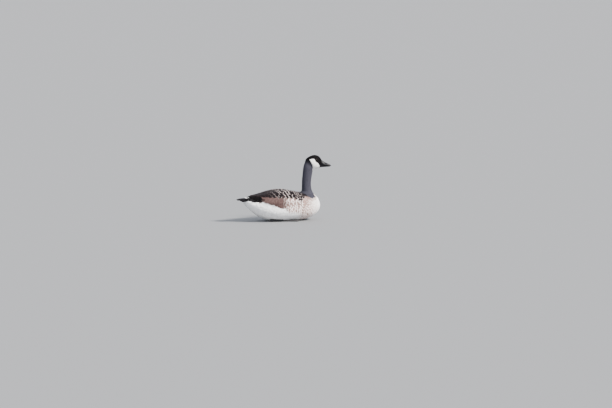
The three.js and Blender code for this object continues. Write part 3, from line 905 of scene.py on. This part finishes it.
def joined_vanes(name, grid, rows, roots, fringe, colours, unwrap, material, slot, patch=0.003, melt=0.0):
    """One piece of all the vanes of a grid, with its colours and its maps.

    The markings fall on each feather as a whole, and with melt as a share also across it."""
    grid[..., 2] = np.maximum(grid[..., 2], 0.6)
    count, per, wide = len(grid), grid.shape[1] * grid.shape[2], grid.shape[2]
    mesh, corners, capped = vane_mesh(name, grid)
    add_vane_maps(mesh, corners, capped, rows, wide, unwrap(roots), patch)
    shown = grid[:, SHOWN_ROW[len(rows)], wide // 2][:, None]
    places = shown + (grid.reshape(count, per, 3) - shown) * melt
    own, edge = (each.reshape(count, per, 3) for each in colours(places.reshape(-1, 3)))
    dice = np.random.default_rng(len(roots) + 5)
    tint = 1 + 0.07 * dice.normal(size=(count, 1, 1)).clip(-2, 2)
    add_values(mesh, "own", (own * tint).reshape(-1, 3))
    add_values(mesh, "edge", (edge * (1 + (tint - 1) * 0.5)).reshape(-1, 3))
    add_values(mesh, "fringe", np.repeat(np.broadcast_to(fringe, count), per))
    piece = bpy.data.objects.new(name, mesh)
    bpy.context.scene.collection.objects.link(piece)
    select_only(piece)
    bpy.ops.object.shade_smooth_by_angle(angle=math.radians(65))
    finish_piece(piece, material, slot)


def constant(own, edge):
    """The same two colours for every feather."""
    return lambda roots: (np.tile(own, (len(roots), 1)), np.tile(edge, (len(roots), 1)))


# The bill, the eyes, the legs and the feet.

# Stations along each half of the bill: its place forward of the neck's axis, top, bottom and half width.
UPPER_BILL = [(62, 340, 307, 12.2), (74, 337.5, 306.5, 12.5), (84, 330, 305, 12.5), (96, 322.6, 303.2, 11.6),
              (108, 317, 302, 10.8), (118, 312.2, 301.2, 9.7), (125, 308.8, 300.2, 8.1),
              (129, 306.2, 299.2, 5.6), (131, 303.8, 298.9, 3.2), (131.7, 302.1, 299.3, 1.4)]
LOWER_BILL = [(60, 307, 293.8, 10.2), (74, 306.6, 293.8, 10.5), (86, 305.2, 294.4, 10.0),
              (100, 303.6, 295, 8.9), (112, 302.4, 295.6, 7.9), (121, 301.3, 296.2, 5.9),
              (126, 300.2, 297.2, 2.6)]
# The bill's cutting edge, forward and up, with the gap between its fine ridges.
EDGE_X = [62, 96, 119, 131]
EDGE_Z = [308.2, 304.4, 302.2, 300]
RIDGE_GAP = 1.9
NOSTRIL = (97.0, 315.0)
NOSTRIL_SLOPE = -0.42
NAIL_X = 127.0
NAIL_RADIUS = 7.0


def spline(stations, steps):
    """Evenly spaced rows along stations, on a smooth curve through them."""
    table = np.asarray(stations, float)
    padded = np.vstack([2 * table[0] - table[1], table, 2 * table[-1] - table[-2]])
    at = np.linspace(0, len(table) - 1, steps + 1)
    start = np.minimum(at.astype(int), len(table) - 2)
    share = (at - start)[:, None]
    a, b, c, d = (padded[start + k] for k in range(4))
    return 0.5 * (2 * b + (c - a) * share + (2 * a - 5 * b + 4 * c - d) * share ** 2
                  + (3 * b - a - 3 * c + d) * share ** 3)


def bill_half(stations, widest, above, below, sides=56, steps=84):
    """One half of the bill, lofted through its stations and closed at each end.

    Widest says at what share of its height it is widest, above and below how square it is there."""
    turn = np.arange(sides) / sides * 2 * math.pi
    power = np.where(np.sin(turn) >= 0, 2 / above, 2 / below)
    out = np.sign(np.cos(turn)) * np.abs(np.cos(turn)) ** power
    rise = np.sign(np.sin(turn)) * np.abs(np.sin(turn)) ** power
    height = widest + rise * np.where(rise >= 0, 1 - widest, widest)
    rings = [np.stack([np.full(sides, x), max(half, 0.8) * out, bottom + height * (top - bottom)], 1)
             for x, top, bottom, half in spline(stations, steps)]
    faces = []
    for row in range(steps):
        for side in range(sides):
            here, beside = row * sides + side, row * sides + (side + 1) % sides
            faces.append((here, here + sides, beside + sides, beside))
    faces.append(tuple(range(sides)))
    faces.append(tuple(steps * sides + side for side in reversed(range(sides))))
    return np.concatenate(rings), faces


def shaped_upper_bill(points):
    """Adds the nail, its groove, the nostril's trough and the grooved cutting edge."""
    x, y, z = points.T
    side = np.abs(y)
    shape = points.copy()
    over_tip = eased(303, 306, z)
    nail = eased(116, 121, x) * eased(6.8, 5.0, side) * eased(131.5, 129, x) * over_tip
    shape[:, 2] += 0.45 * nail
    ring = (np.hypot((x - NAIL_X) * 0.8, y) - NAIL_RADIUS) / 0.9
    shape[:, 2] -= 0.3 * np.exp(-ring ** 2) * over_tip * eased(114, 118, x)
    ahead, above = x - NOSTRIL[0], z - NOSTRIL[1] - (x - NOSTRIL[0]) * NOSTRIL_SLOPE
    inward = np.sign(y)
    for depth, long, tall in ((0.7, 9.0, 3.6), (2.6, 4.8, 1.5)):
        hollow = np.exp(-(ahead / long) ** 4 - (above / tall) ** 4) * eased(4, 6, side)
        shape[:, 1] -= inward * depth * hollow
    ridges = 0.5 + 0.5 * np.sin(x * 2 * math.pi / RIDGE_GAP)
    edge = np.exp(-((z - np.interp(x, EDGE_X, EDGE_Z)) / 0.9) ** 2)
    shape[:, 1] -= inward * 0.35 * ridges * edge * eased(125, 118, x)
    return shape


def make_bill(material):
    """The two halves of the bill, turned with the head."""
    top, top_faces = bill_half(UPPER_BILL, 0.2, 1.9, 3.0)
    bottom, bottom_faces = bill_half(LOWER_BILL, 0.75, 3.0, 2.0)
    upper = mesh_object("bill_top", from_head(shaped_upper_bill(top)), top_faces)
    lower = mesh_object("bill_under", from_head(bottom), bottom_faces)
    for piece, part in ((upper, "bill_upper"), (lower, "bill_lower")):
        finish_piece(piece, material, "bill_horn", part)
        select_only(piece)
        bpy.ops.object.mode_set(mode="EDIT")
        bpy.ops.mesh.select_all(action="SELECT")
        bpy.ops.mesh.normals_make_consistent(inside=False)
        bpy.ops.object.mode_set(mode="OBJECT")
        bpy.ops.object.shade_smooth_by_angle(angle=math.radians(50))


def make_eye(name, side, material):
    """A fine ball with the iris and pupil marked by the angle from its axis."""
    centre, out = eye_axis(side)
    bpy.ops.object.select_all(action="DESELECT")
    bpy.ops.mesh.primitive_uv_sphere_add(segments=64, ring_count=48, radius=EYE_RADIUS / 1000)
    ball = bpy.context.view_layer.objects.active
    ball.name = ball.data.name = "ball_" + name
    turn = Vector((0, 0, 1)).rotation_difference(Vector(out))
    bpy.ops.object.transform_apply()
    points = np.array([(turn.to_matrix() @ vert.co)[:] for vert in ball.data.vertices])
    bulge = 1 + 0.04 * eased(0.75, 0.98, unit(points) @ out)
    put_vertices(ball, points * bulge[:, None] * 1000 + centre)
    add_values(ball.data, "ring", np.degrees(np.arccos(np.clip(unit(points) @ out, -1, 1))) / 60)
    ball.data.shade_smooth()
    finish_piece(ball, material, "eye", name)


def lid_ring(side):
    """An eyelid: a slightly almond ring that hugs the ball and sinks into the skin outside."""
    centre, out = eye_axis(side)
    forward = from_head([(1.0, 0, 0)])[0] - from_head([(0.0, 0, 0)])[0]
    forward = unit(forward - out * (forward @ out))
    up = np.cross(out, forward) * side
    up = up if up[2] > 0 else -up
    turns, steps = 72, 12
    points, faces = [], []
    for turn in range(turns):
        angle = turn / turns * 2 * math.pi
        corner = 0.75 * abs(math.cos(angle)) ** 6
        opening = math.asin((5.35 + corner - 0.35 * abs(math.sin(angle))) / EYE_RADIUS)
        rim_reach, rim_height = EYE_RADIUS * math.sin(opening), EYE_RADIUS * math.cos(opening)
        way = forward * math.cos(angle) + up * math.sin(angle)
        for step in range(steps):
            share = step / (steps - 1)
            wrinkle = 0.10 * math.sin(angle * 26 + share * 3)
            roll = 0.55 * math.sin(math.pi * min(share * 1.7, 1))
            reach = rim_reach + 2.9 * share + wrinkle * share
            height = rim_height + roll - 3.0 * share ** 1.6 + wrinkle * math.sin(math.pi * share)
            points.append(centre + way * reach + out * height)
    for turn in range(turns):
        for step in range(steps - 1):
            here = turn * steps + step
            beside = (turn + 1) % turns * steps + step
            faces.append((here, here + 1, beside + 1, beside))
    lid = mesh_object("lid", np.array(points), faces)
    add_values(lid.data, "own", np.tile(LID_BLACK, (len(points), 1)))
    return lid


def make_legs(leg, claw):
    """The tucked legs and webbed feet, and their claws."""
    for side in ("left", "right"):
        limb = joined(f"webbed_foot_{side}", [node_copy(f"leg_{side}"), node_copy(f"foot_{side}")])
        remeshed(limb, 0.9, 6)
        finish_piece(limb, leg, "leg_skin", f"leg_{side}", f"foot_{side}")
        for number in range(1, 5):
            nail = node_copy(f"claw_{side}_{number}")
            nail.name = nail.data.name = f"toe_claw_{side}_{number}"
            remeshed(nail, 0.35, 4)
            finish_piece(nail, claw, "claw_horn", f"claw_{side}_{number}")


# The coat.

# How far the rows of feathers on the trunk lie from its axis, on the whole.
ROW_RADIUS = 96
# The rows of a vane, as shares of its length: closer where its outline turns.
FINE_ROWS = [0, 0.4, 0.75, 1.0]
SHORT_ROWS = [0, 0.35, 0.65, 0.85, 0.96, 1.0]
LONG_ROWS = [0, 0.25, 0.5, 0.7, 0.85, 0.95, 1.0]
QUILL_ROWS = [0, 0.15, 0.3, 0.45, 0.6, 0.72, 0.82, 0.9, 0.955, 0.99, 1.0]
# How near the eye's axis the head's feathers begin.
EYE_CLEARANCE = 5.9
# A fringe narrower than nothing leaves a feather without one.
NO_FRINGE = -0.3


def trunk_roots(surface, along, angles):
    """Roots on the trunk by their place along it and angle from the back's midline, and which of them hit."""
    x, angle = np.asarray(along, float), np.radians(np.asarray(angles, float))
    outward = np.stack([np.zeros_like(x), np.sin(angle), np.cos(angle)], 1)
    axis = np.stack([x, np.zeros_like(x), np.full_like(x, BODY_AXIS_Z)], 1)
    return surface.cast(axis + outward * 260, -outward)


def rowed(start, end, gap, low, high, girth_gap, slant=-0.06):
    """Staggered rows over the trunk: places along it, and angles from the back's midline.

    The slant sets a row back, in millimetres for each degree from the midline."""
    along, angles = [], []
    dice = np.random.default_rng(int(abs(start) + abs(high)))
    step = math.degrees(girth_gap / ROW_RADIUS)
    for row, x in enumerate(np.arange(start, end, -gap)):
        for angle in np.arange(low + step / 2 * (row % 2), high, step):
            along.append(x + dice.normal() * gap * 0.07 + slant * abs(angle))
            angles.append(angle + dice.normal() * step * 0.05)
    return np.array(along), np.array(angles)


def on_head(points):
    """Whether places are on the head rather than the neck."""
    at = head_place(points)
    return points[:, 2] > 300 - 0.35 * np.clip(at[:, 0], 0, 60)


def on_neck(points):
    """Whether places are on the neck, with a collar below its black edge."""
    near = (neck_reach(points) < 76) & (points[:, 0] > 84)
    return ~on_head(points) & (neck_edge(points) > -5) & near


def girth_angle(points):
    """The angle of places from the back's midline, in degrees."""
    return np.degrees(np.arctan2(np.abs(points[:, 1]), points[:, 2] - BODY_AXIS_Z))


def coat_from_scatter(name, skin, gap, keep, size, lift, material, slot, unwrap, fringe, melt=0.0, **form):
    """A coat piece over a part of the skin: evenly scattered roots, vanes sized by place."""
    roots = skin.scattered(gap, keep, len(name) * 7)
    length, width = size(roots)
    grid = lying_vanes(skin, roots, lie_of_coat(roots), length, width, lift(roots), **form)
    joined_vanes(name, grid, form["rows"], roots, fringe, plumage, unwrap, material, slot, melt=melt)


def eye_gap(points):
    """How far places lie from the nearer eye's axis, on its own side of the head."""
    gaps = []
    for side in (1, -1):
        centre, out = eye_axis(side)
        across = np.linalg.norm(np.cross(points - centre, out), axis=1)
        gaps.append(across + 60 * ((points - centre) @ out < 0))
    return np.min(gaps, 0)


def cover_head(skin, material):
    """Fine close feathers over the head, smallest round the eyes and the bill."""
    def keep(points):
        clear = (eye_gap(points) > EYE_CLEARANCE) & (head_place(points)[:, 0] < BILL_BASE_X + 0.5)
        return on_head(points) & clear

    def gap(points):
        near = np.maximum(eased(60, 80, head_place(points)[:, 0]), eased(13, 8, eye_gap(points)))
        return 1.2 - 0.34 * near

    def size(roots):
        length = 5.6 - 2.6 * eased(40, 82, head_place(roots)[:, 0])
        length = np.minimum(length, 1.3 + 0.5 * np.clip(eye_gap(roots) - EYE_CLEARANCE, 0, 30))
        return length, 1.0 + 0.14 * length

    def lift(roots):
        high = 0.78 - 0.28 * eased(66, 84, head_place(roots)[:, 0])
        return 0.05, high * np.clip(eye_gap(roots) / 14, 0.35, 1)

    coat_from_scatter("coat_head", skin, gap, keep, size, lift, material, "black_plumage", neck_unwrap,
                      NO_FRINGE, rows=FINE_ROWS, columns=2, outline=FINE_TIP, crown=0.10, turn=0.12,
                      jitter=0.14)


def cover_neck(skin, material):
    """Small close feathers down the neck, longer towards the shoulders."""
    def gap(points):
        return 1.75 + 0.75 * eased(220, 130, points[:, 2])

    def size(roots):
        length = 6.8 + 3.4 * eased(240, 130, roots[:, 2])
        return length, 2.0 + 1.9 * eased(200, 130, roots[:, 2])

    def lift(roots):
        return 0.1, 1.3 + 0.9 * eased(230, 140, roots[:, 2])

    coat_from_scatter("coat_neck", skin, gap, on_neck, size, lift, material, "black_plumage", neck_unwrap,
                      NO_FRINGE, rows=FINE_ROWS, columns=2, outline=CLOSE_TIP, crown=0.10, turn=0.08,
                      jitter=0.12)


def wing_lower_edge(points):
    """The height of the folded wing's lower edge along the body."""
    return np.interp(points[:, 0], WING_ROWS[:, 0], WING_ROWS[:, 4])


def cover_trunk(skin, material):
    """The breast, the underside and the stern, in soft overlapping feathers with loose tips."""
    def under_wing_tip(points):
        return eased(-16, -4, points[:, 2] - wing_lower_edge(points)) * eased(-120, -134, points[:, 0])

    def lift(roots):
        return 0.2, 2.5 - 0.8 * eased(70, 100, roots[:, 0]) - 1.7 * under_wing_tip(roots)

    def breast(points):
        ahead = (points[:, 0] > 84) & (points[:, 2] < 172)
        return ~on_neck(points) & ahead & (girth_angle(points) < 130)

    def breast_gap(points):
        return 3.7 + 2.2 * eased(130, 60, points[:, 2])

    def breast_size(roots):
        length = 13 + 9 * eased(130, 60, roots[:, 2])
        return length, length * 0.62

    def underside(points):
        return (girth_angle(points) >= 112) & (points[:, 0] > -70)

    def underside_gap(points):
        return np.full(len(points), 6.6)

    def underside_size(roots):
        return 21.0, 12.5

    def stern(points):
        x, z = points[:, 0], points[:, 2]
        under_wing = (x < -128) & (z < wing_lower_edge(points) + 1)
        under_tail = (x < -200) & (z < 124)
        tail_root = (x < -176) & (z > 124)
        return (x <= -56) & ((girth_angle(points) > 84) | under_wing | under_tail) & ~tail_root

    def stern_gap(points):
        return np.full(len(points), 6.4)

    def stern_size(roots):
        length = 25 - 5 * eased(-190, -230, roots[:, 0]) - 8 * under_wing_tip(roots)
        return length, length * 0.55

    parts = (("coat_breast", breast_gap, breast, breast_size, 0.16),
             ("coat_underside", underside_gap, underside, underside_size, 0.2),
             ("coat_stern", stern_gap, stern, stern_size, 0.2))
    for name, gap, keep, size, fringe in parts:
        coat_from_scatter(name, skin, gap, keep, size, lift, material, "body_plumage", body_unwrap, fringe,
                          melt=0.6, rows=SHORT_ROWS, columns=8, outline=BROAD_TIP, crown=0.02, ragged=0.016,
                          turn=0.10)


def cover_sides(skin, material):
    """The flank feathers, in rows that lap over the folded wing's lower edge."""
    along, angles = rowed(116, -140, 13, 64, 122, 15)
    along, angles = np.concatenate([along, along]), np.concatenate([angles, -angles])
    roots, hit = trunk_roots(skin, along, angles)
    roots = roots[hit & ~on_neck(roots)]
    length = 34 + 5 * eased(40, -40, roots[:, 0])
    over = eased(86, 70, girth_angle(roots))
    lift = (0.4 + 2.4 * over, 2.5 + 2.3 * over)
    grid = lying_vanes(skin, roots, lie_of_coat(roots), length, length * 0.62, lift, LONG_ROWS, 12,
                       BROAD_TIP, 0.02, ragged=0.007, turn=0.05)
    fringe = 0.17 - 0.09 * eased(40, -20, roots[:, 0])
    joined_vanes("coat_flanks", grid, LONG_ROWS, roots, fringe, plumage, body_unwrap, material,
                 "body_plumage", patch=0.006, melt=0.6)


def cover_back(skin, material):
    """The mantle and the scapulars, in neat staggered rows with pale tips."""
    rows = (("coat_mantle", 112, 30, 10.5, 12.5, 26, 0.25),
            ("coat_scapulars", 34, -150, 22, 15, 50, 0.8))
    for name, start, end, gap, girth_gap, long, slant in rows:
        along, angles = rowed(start, end, gap, -68, 68, girth_gap, slant)
        if name == "coat_mantle":
            ahead = along > 30 + 0.8 * np.abs(angles)
            along, angles = along[ahead], angles[ahead]
        roots, hit = trunk_roots(skin, along, angles)
        roots = roots[hit & ~on_neck(roots)]
        girth = girth_angle(roots)
        ways = lie_of_coat(roots)
        ways[:, 2] -= 0.28 * eased(18, 45, girth) * eased(90, 70, girth)
        length = long * (1 - 0.18 * eased(25, 8, girth))
        lift = (0.6, 3.4 - 1.4 * eased(50, 64, girth))
        grid = lying_vanes(skin, roots, ways, length, length * 0.62, lift, LONG_ROWS, 10, BROAD_TIP, 0.03,
                           ragged=0.004, turn=0.04)
        fringe = 0.034 - 0.01 * eased(30, -60, roots[:, 0])
        joined_vanes(name, grid, LONG_ROWS, roots, fringe, plumage, body_unwrap, material, "wing_plumage",
                     patch=0.006)


# The folded wing along the body: the place, and the upper and lower edges, aside and up.
WING_STATIONS = [(122, 58, 145, 71, 132), (113, 47, 152, 84, 119), (88, 38, 159.5, 96, 111),
                 (50, 30, 166, 103, 107), (0, 20, 174.5, 107, 106), (-56, 11, 170.5, 104, 106),
                 (-106, 5.5, 158.5, 92, 108), (-150, 2.5, 149, 71, 112), (-186, 1.5, 146, 40, 119),
                 (-206, 2, 143, 15, 131)]
# How far its face swells out, as a share of the way down it.
WING_BULGE = 0.23
WING_ROWS = spline(WING_STATIONS, 160)[::-1]


def wing_place(x, chord):
    """A place on the left wing's outer face, by the place along the body and the share down the wing."""
    edges = (np.interp(x, WING_ROWS[:, 0], WING_ROWS[:, column]) for column in range(1, 5))
    upper_y, upper_z, lower_y, lower_z = edges
    down_y, down_z = lower_y - upper_y, lower_z - upper_z
    reach = np.hypot(down_y, down_z)
    bulge = 4 * WING_BULGE * reach * chord * (1 - chord)
    aside = upper_y + down_y * chord - down_z / reach * bulge
    return np.stack([x, aside, upper_z + down_z * chord + down_y / reach * bulge], -1)


# The tail fan's tips, by their place aside, and the height of its ridge along it.
TAIL_TIPS_Y = [0, 10, 25, 38.6, 46]
TAIL_TIPS_X = [-268, -267, -264, -257, -248]
TAIL_RIDGE_X = [-268, -258, -246, -229, -208, -186, -150]
TAIL_RIDGE_Z = [128.5, 131.5, 133.5, 135, 135.5, 134.5, 134.0]
TAIL_HALF_WIDTH = 46
TAIL_DROOP = 15
# The fan's feathers, from their roots under the coverts.
TAIL_FEATHERS = 16
TAIL_FEATHER_WIDTH = 19.0
TAIL_SPREAD = 43
TAIL_ROOT_X = -176.0
TAIL_ROOT_SPREAD = 15
# Each row of coverts: its place along the body, half its spread, its count, reach and rise.
COVERT_ROWS = ((-190, 24, 9, 29, 0.0), (-184, 22, 8, 23, 0.5), (-176, 19, 7, 21, 1.0))
COVERT_WIDTH = 12.0


def tail_place(x, y):
    """A place on the upper face of the tail."""
    ridge = np.interp(x, TAIL_RIDGE_X, TAIL_RIDGE_Z)
    return np.stack([x, y, ridge - TAIL_DROOP * (y / TAIL_HALF_WIDTH) ** 2], -1)


def quills(face, start, end, width, lift, rows, columns, outline, crown):
    """Long feathers on a face given by two measures, each from a start to an end place on it."""
    shares = np.linspace(-1, 1, columns + 1)
    start, end = np.asarray(start, float), np.asarray(end, float)
    grid = np.empty((len(start), len(rows), columns + 1, 3))
    for number, (first, last) in enumerate(zip(start, end)):
        for place, step in enumerate(rows):
            at = first + (last - first) * step
            centre = face(*at)
            way = unit(face(*(first + (last - first) * (step + 0.02))) - centre)
            aside = 0.004 if face is wing_place else 0.4
            normal = unit(np.cross(way, face(at[0], at[1] + aside) - centre))
            normal = normal if normal[2] > 0 else -normal
            side = np.cross(normal, way)
            half = width[number] / 2 * outline(step)
            rise = lift[number][0] + (lift[number][1] - lift[number][0]) * step
            for column, share in enumerate(shares):
                swell = crown * width[number] * (0.5 - share * share)
                grid[number, place, column] = centre + side * half * share + normal * (rise + swell)
    return grid


def with_right_side(grid):
    """The left wing's vanes and the same on the right side, with their faces still outwards."""
    return np.concatenate([grid, grid[:, :, ::-1] * (1, -1, 1)])


def cover_wings(material, quill):
    """The primaries and the tertials of the folded wings, over the rump."""
    widths = [15, 16, 17, 18, 19, 20]
    tips = [(-207, 0.14), (-204, 0.30), (-198, 0.46), (-190, 0.62), (-179, 0.78), (-165, 0.93)]
    starts = [(-70, 0.40), (-62, 0.51), (-54, 0.62), (-46, 0.73), (-38, 0.84), (-30, 0.94)]
    lifts = [(-4.0, -0.6), (-4.3, -0.9), (-4.6, -1.2), (-4.9, -1.5), (-5.2, -1.8), (-5.5, -2.1)]
    inner_tips = [(x + 7, chord) for x, chord in tips]
    inner_lifts = [(low - 3.5, high - 3.2) for low, high in lifts]
    inner = quills(wing_place, starts, inner_tips, widths, inner_lifts, QUILL_ROWS, 6, BLADE_TIP, 0.05)
    outer = quills(wing_place, starts, tips, widths, lifts, QUILL_ROWS, 6, BLADE_TIP, 0.05)
    grid = with_right_side(np.concatenate([inner, outer]))
    joined_vanes("primaries", grid, QUILL_ROWS, grid[:, 0, 3], 0.03, constant(PRIMARY_BLACK, PRIMARY_EDGE),
                 body_unwrap, quill, "wing_plumage", patch=0.005)
    widths = [30, 30, 30, 29, 28, 27]
    tips = [(-189, 0.10), (-178, 0.24), (-163, 0.40), (-147, 0.54), (-129, 0.68), (-109, 0.82)]
    starts = [(-66, 0.05), (-58, 0.19), (-48, 0.35), (-38, 0.51), (-30, 0.67), (-20, 0.82)]
    lifts = [(-2.6, 0.6), (-2.9, 0.3), (-3.2, 0.0), (-3.6, -0.6), (-4.4, -1.8), (-5.0, -2.8)]
    grid = with_right_side(quills(wing_place, starts, tips, widths, lifts, QUILL_ROWS, 8, ROUND_TIP, 0.05))
    joined_vanes("tertials", grid, QUILL_ROWS, grid[:, 0, 4], 0.035, constant(WING_BROWN, REAR_FRINGE),
                 body_unwrap, material, "wing_plumage", patch=0.03)


def rump_band(points):
    """The white band over the tail's root, which the black rump and the wings' tips hide from the side."""
    middle = eased(14, 9, np.abs(points[:, 1]))
    own = blended(np.tile(TAIL_BLACK, (len(points), 1)), VENT_WHITE, middle)
    return own, own


def cover_tail(quill, soft):
    """The black tail fan, and the coverts over its root."""
    shares = np.linspace(-1, 1, TAIL_FEATHERS)
    shares = shares[np.argsort(-np.abs(shares))]
    tip_y = TAIL_SPREAD * shares
    tip_x = np.interp(np.abs(tip_y), TAIL_TIPS_Y, TAIL_TIPS_X)
    starts = np.stack([np.full(TAIL_FEATHERS, TAIL_ROOT_X), TAIL_ROOT_SPREAD * shares], 1)
    ends = np.stack([tip_x, tip_y], 1)
    lifts = [(-2.4 - 3.2 * share, -0.3 - 2.6 * share) for share in np.abs(shares)]
    widths = np.full(TAIL_FEATHERS, TAIL_FEATHER_WIDTH)
    grid = quills(tail_place, starts, ends, widths, lifts, QUILL_ROWS, 6, BLADE_TIP, 0.035)
    joined_vanes("tail_feathers", grid, QUILL_ROWS, grid[:, -1, 3], 0.02,
                 constant(TAIL_BLACK, TAIL_BLACK * 1.3), flat_unwrap, quill, "black_plumage", patch=0.04)
    dice = np.random.default_rng(31)
    starts, ends, lifts = [], [], []
    for x, spread, count, reach, rise in COVERT_ROWS:
        for share in np.linspace(-1, 1, count):
            back = reach + 9 * abs(share) ** 1.5 + dice.normal() * 2
            chance_rise = rise + 0.5 * dice.normal()
            starts.append((x, 0.7 * spread * share))
            ends.append((x - back, spread * share * (1.1 + 0.1 * abs(share))))
            lifts.append((-2.2 + 0.4 * chance_rise, 0.2 + 0.6 * chance_rise))
    widths = np.full(len(starts), COVERT_WIDTH)
    grid = quills(tail_place, starts, ends, widths, lifts, LONG_ROWS, 6, ROUND_TIP, 0.07)
    joined_vanes("tail_coverts", grid, LONG_ROWS, grid[:, 0, 2], 0.1, rump_band, flat_unwrap, soft,
                 "body_plumage", patch=0.02)


# The studio and the camera.

FLOOR_GREY = (0.195, 0.198, 0.205, 1.0)
SKY_COLOUR = (0.86, 0.91, 1.0, 1.0)
SKY_STRENGTH = 1.6
SUN_COLOUR = (1.0, 0.96, 0.90)
SUN_STRENGTH = 11.0
SUN_TURN = tuple(math.radians(degrees) for degrees in (48, 8, 38))
SUN_SOFTNESS = math.radians(14)


def make_studio():
    """A pale floor, a soft sun from the upper right and a pale sky all round."""
    bpy.ops.object.select_all(action="DESELECT")
    bpy.ops.mesh.primitive_plane_add(size=600, location=(0, 0, 0))
    floor = bpy.context.view_layer.objects.active
    floor.name = "studio_floor"
    paint, shader = new_material("studio_floor", 0.9, 0.1)
    shader.inputs["Base Color"].default_value = FLOOR_GREY
    floor.data.materials.append(paint)
    world = bpy.data.worlds.new("studio_air")
    bpy.context.scene.world = world
    world.use_nodes = True
    sky = world.node_tree.nodes["Background"]
    sky.inputs["Color"].default_value = SKY_COLOUR
    sky.inputs["Strength"].default_value = SKY_STRENGTH
    bpy.ops.object.light_add(type="SUN", rotation=SUN_TURN)
    sun = bpy.context.view_layer.objects.active
    sun.data.energy = SUN_STRENGTH
    sun.data.angle = SUN_SOFTNESS
    sun.data.color = SUN_COLOUR


def make_camera():
    """The photograph's view: long and level, with the bird small and left of the middle."""
    sine, cosine = math.sin(-CAMERA_AZIMUTH), math.cos(CAMERA_AZIMUTH)
    rise, level = math.sin(CAMERA_ELEVATION), math.cos(CAMERA_ELEVATION)
    back = Vector((-sine * level, -cosine * level, rise))
    right = Vector((cosine, -sine, 0))
    up = Vector((rise * sine, rise * cosine, level))
    target = Vector(metres([AIM_POINT])[0]) + right * AIM_RIGHT + up * AIM_UP
    bpy.ops.object.camera_add(location=target + back * CAMERA_DISTANCE)
    camera = bpy.context.view_layer.objects.active
    camera.rotation_mode = "QUATERNION"
    camera.rotation_quaternion = (-back).to_track_quat("-Z", "Y")
    camera.data.sensor_width = 36
    camera.data.lens = 36 * CAMERA_DISTANCE / PHOTO_WIDTH
    camera.data.clip_end = 1000
    bpy.context.scene.camera = camera


def cover_body(skin):
    """All the feathers, from the head back to the tail."""
    velvet = feather_material("velvet_feathers", 5.0, roughness=0.65, sheen=0.01, streak=0.12, bump=0.12)
    soft = feather_material("soft_feathers", 12.0, roughness=0.8, sheen=0.06, streak=0.07, bump=0.15)
    neat = feather_material("neat_feathers", 26.0, 0.35, roughness=0.68, sheen=0.01, streak=0.10, bump=0.3)
    flank = feather_material("flank_feathers", 24.0, roughness=0.78, sheen=0.08, streak=0.08, bump=0.2)
    quill = feather_material("quill_feathers", 70.0, 0.6, roughness=0.55, sheen=0.01, streak=0.10, bump=0.3)
    cover_head(skin, velvet)
    cover_neck(skin, velvet)
    cover_trunk(skin, soft)
    cover_sides(skin, flank)
    cover_back(skin, neat)
    cover_wings(neat, quill)
    cover_tail(quill, soft)


def add_bare_parts():
    """The bill, the eyes, and the legs with their feet and claws."""
    make_bill(surface_material("bill_horn_black", (0.003, 0.003, 0.004), (0.009, 0.009, 0.011), 0.006, 0.42,
                               0.0002, specular=0.14))
    wet = eye_material()
    for name, side in (("eye_left", 1), ("eye_right", -1)):
        make_eye(name, side, wet)
    leather = surface_material("leg_leather", (0.010, 0.010, 0.011), (0.030, 0.028, 0.030), 0.003, 0.55,
                               0.0004, cells=True)
    claw = surface_material("claw_horn_black", (0.008, 0.007, 0.007), (0.022, 0.019, 0.018), 0.003, 0.4,
                            0.0001)
    make_legs(leather, claw)


def finish_skin(skin):
    """Joins the lids to the skin, and gives it the coat's own markings."""
    lids = [lid_ring(side) for side in (1, -1)]
    own, _ = plumage(vertex_places(skin))
    add_values(skin.data, "own", own)
    select_only(skin, *lids)
    bpy.ops.object.join()
    skin.data.shade_smooth()
    finish_piece(skin, skin_material(), "body_plumage",
                 "head", "neck", "trunk", "wing_left", "wing_right", "tail")


def build():
    """The whole bird, from its camera to its last feather."""
    make_camera()
    make_studio()
    skin = make_skin()
    cover_body(Surface(skin))
    add_bare_parts()
    finish_skin(skin)


build()
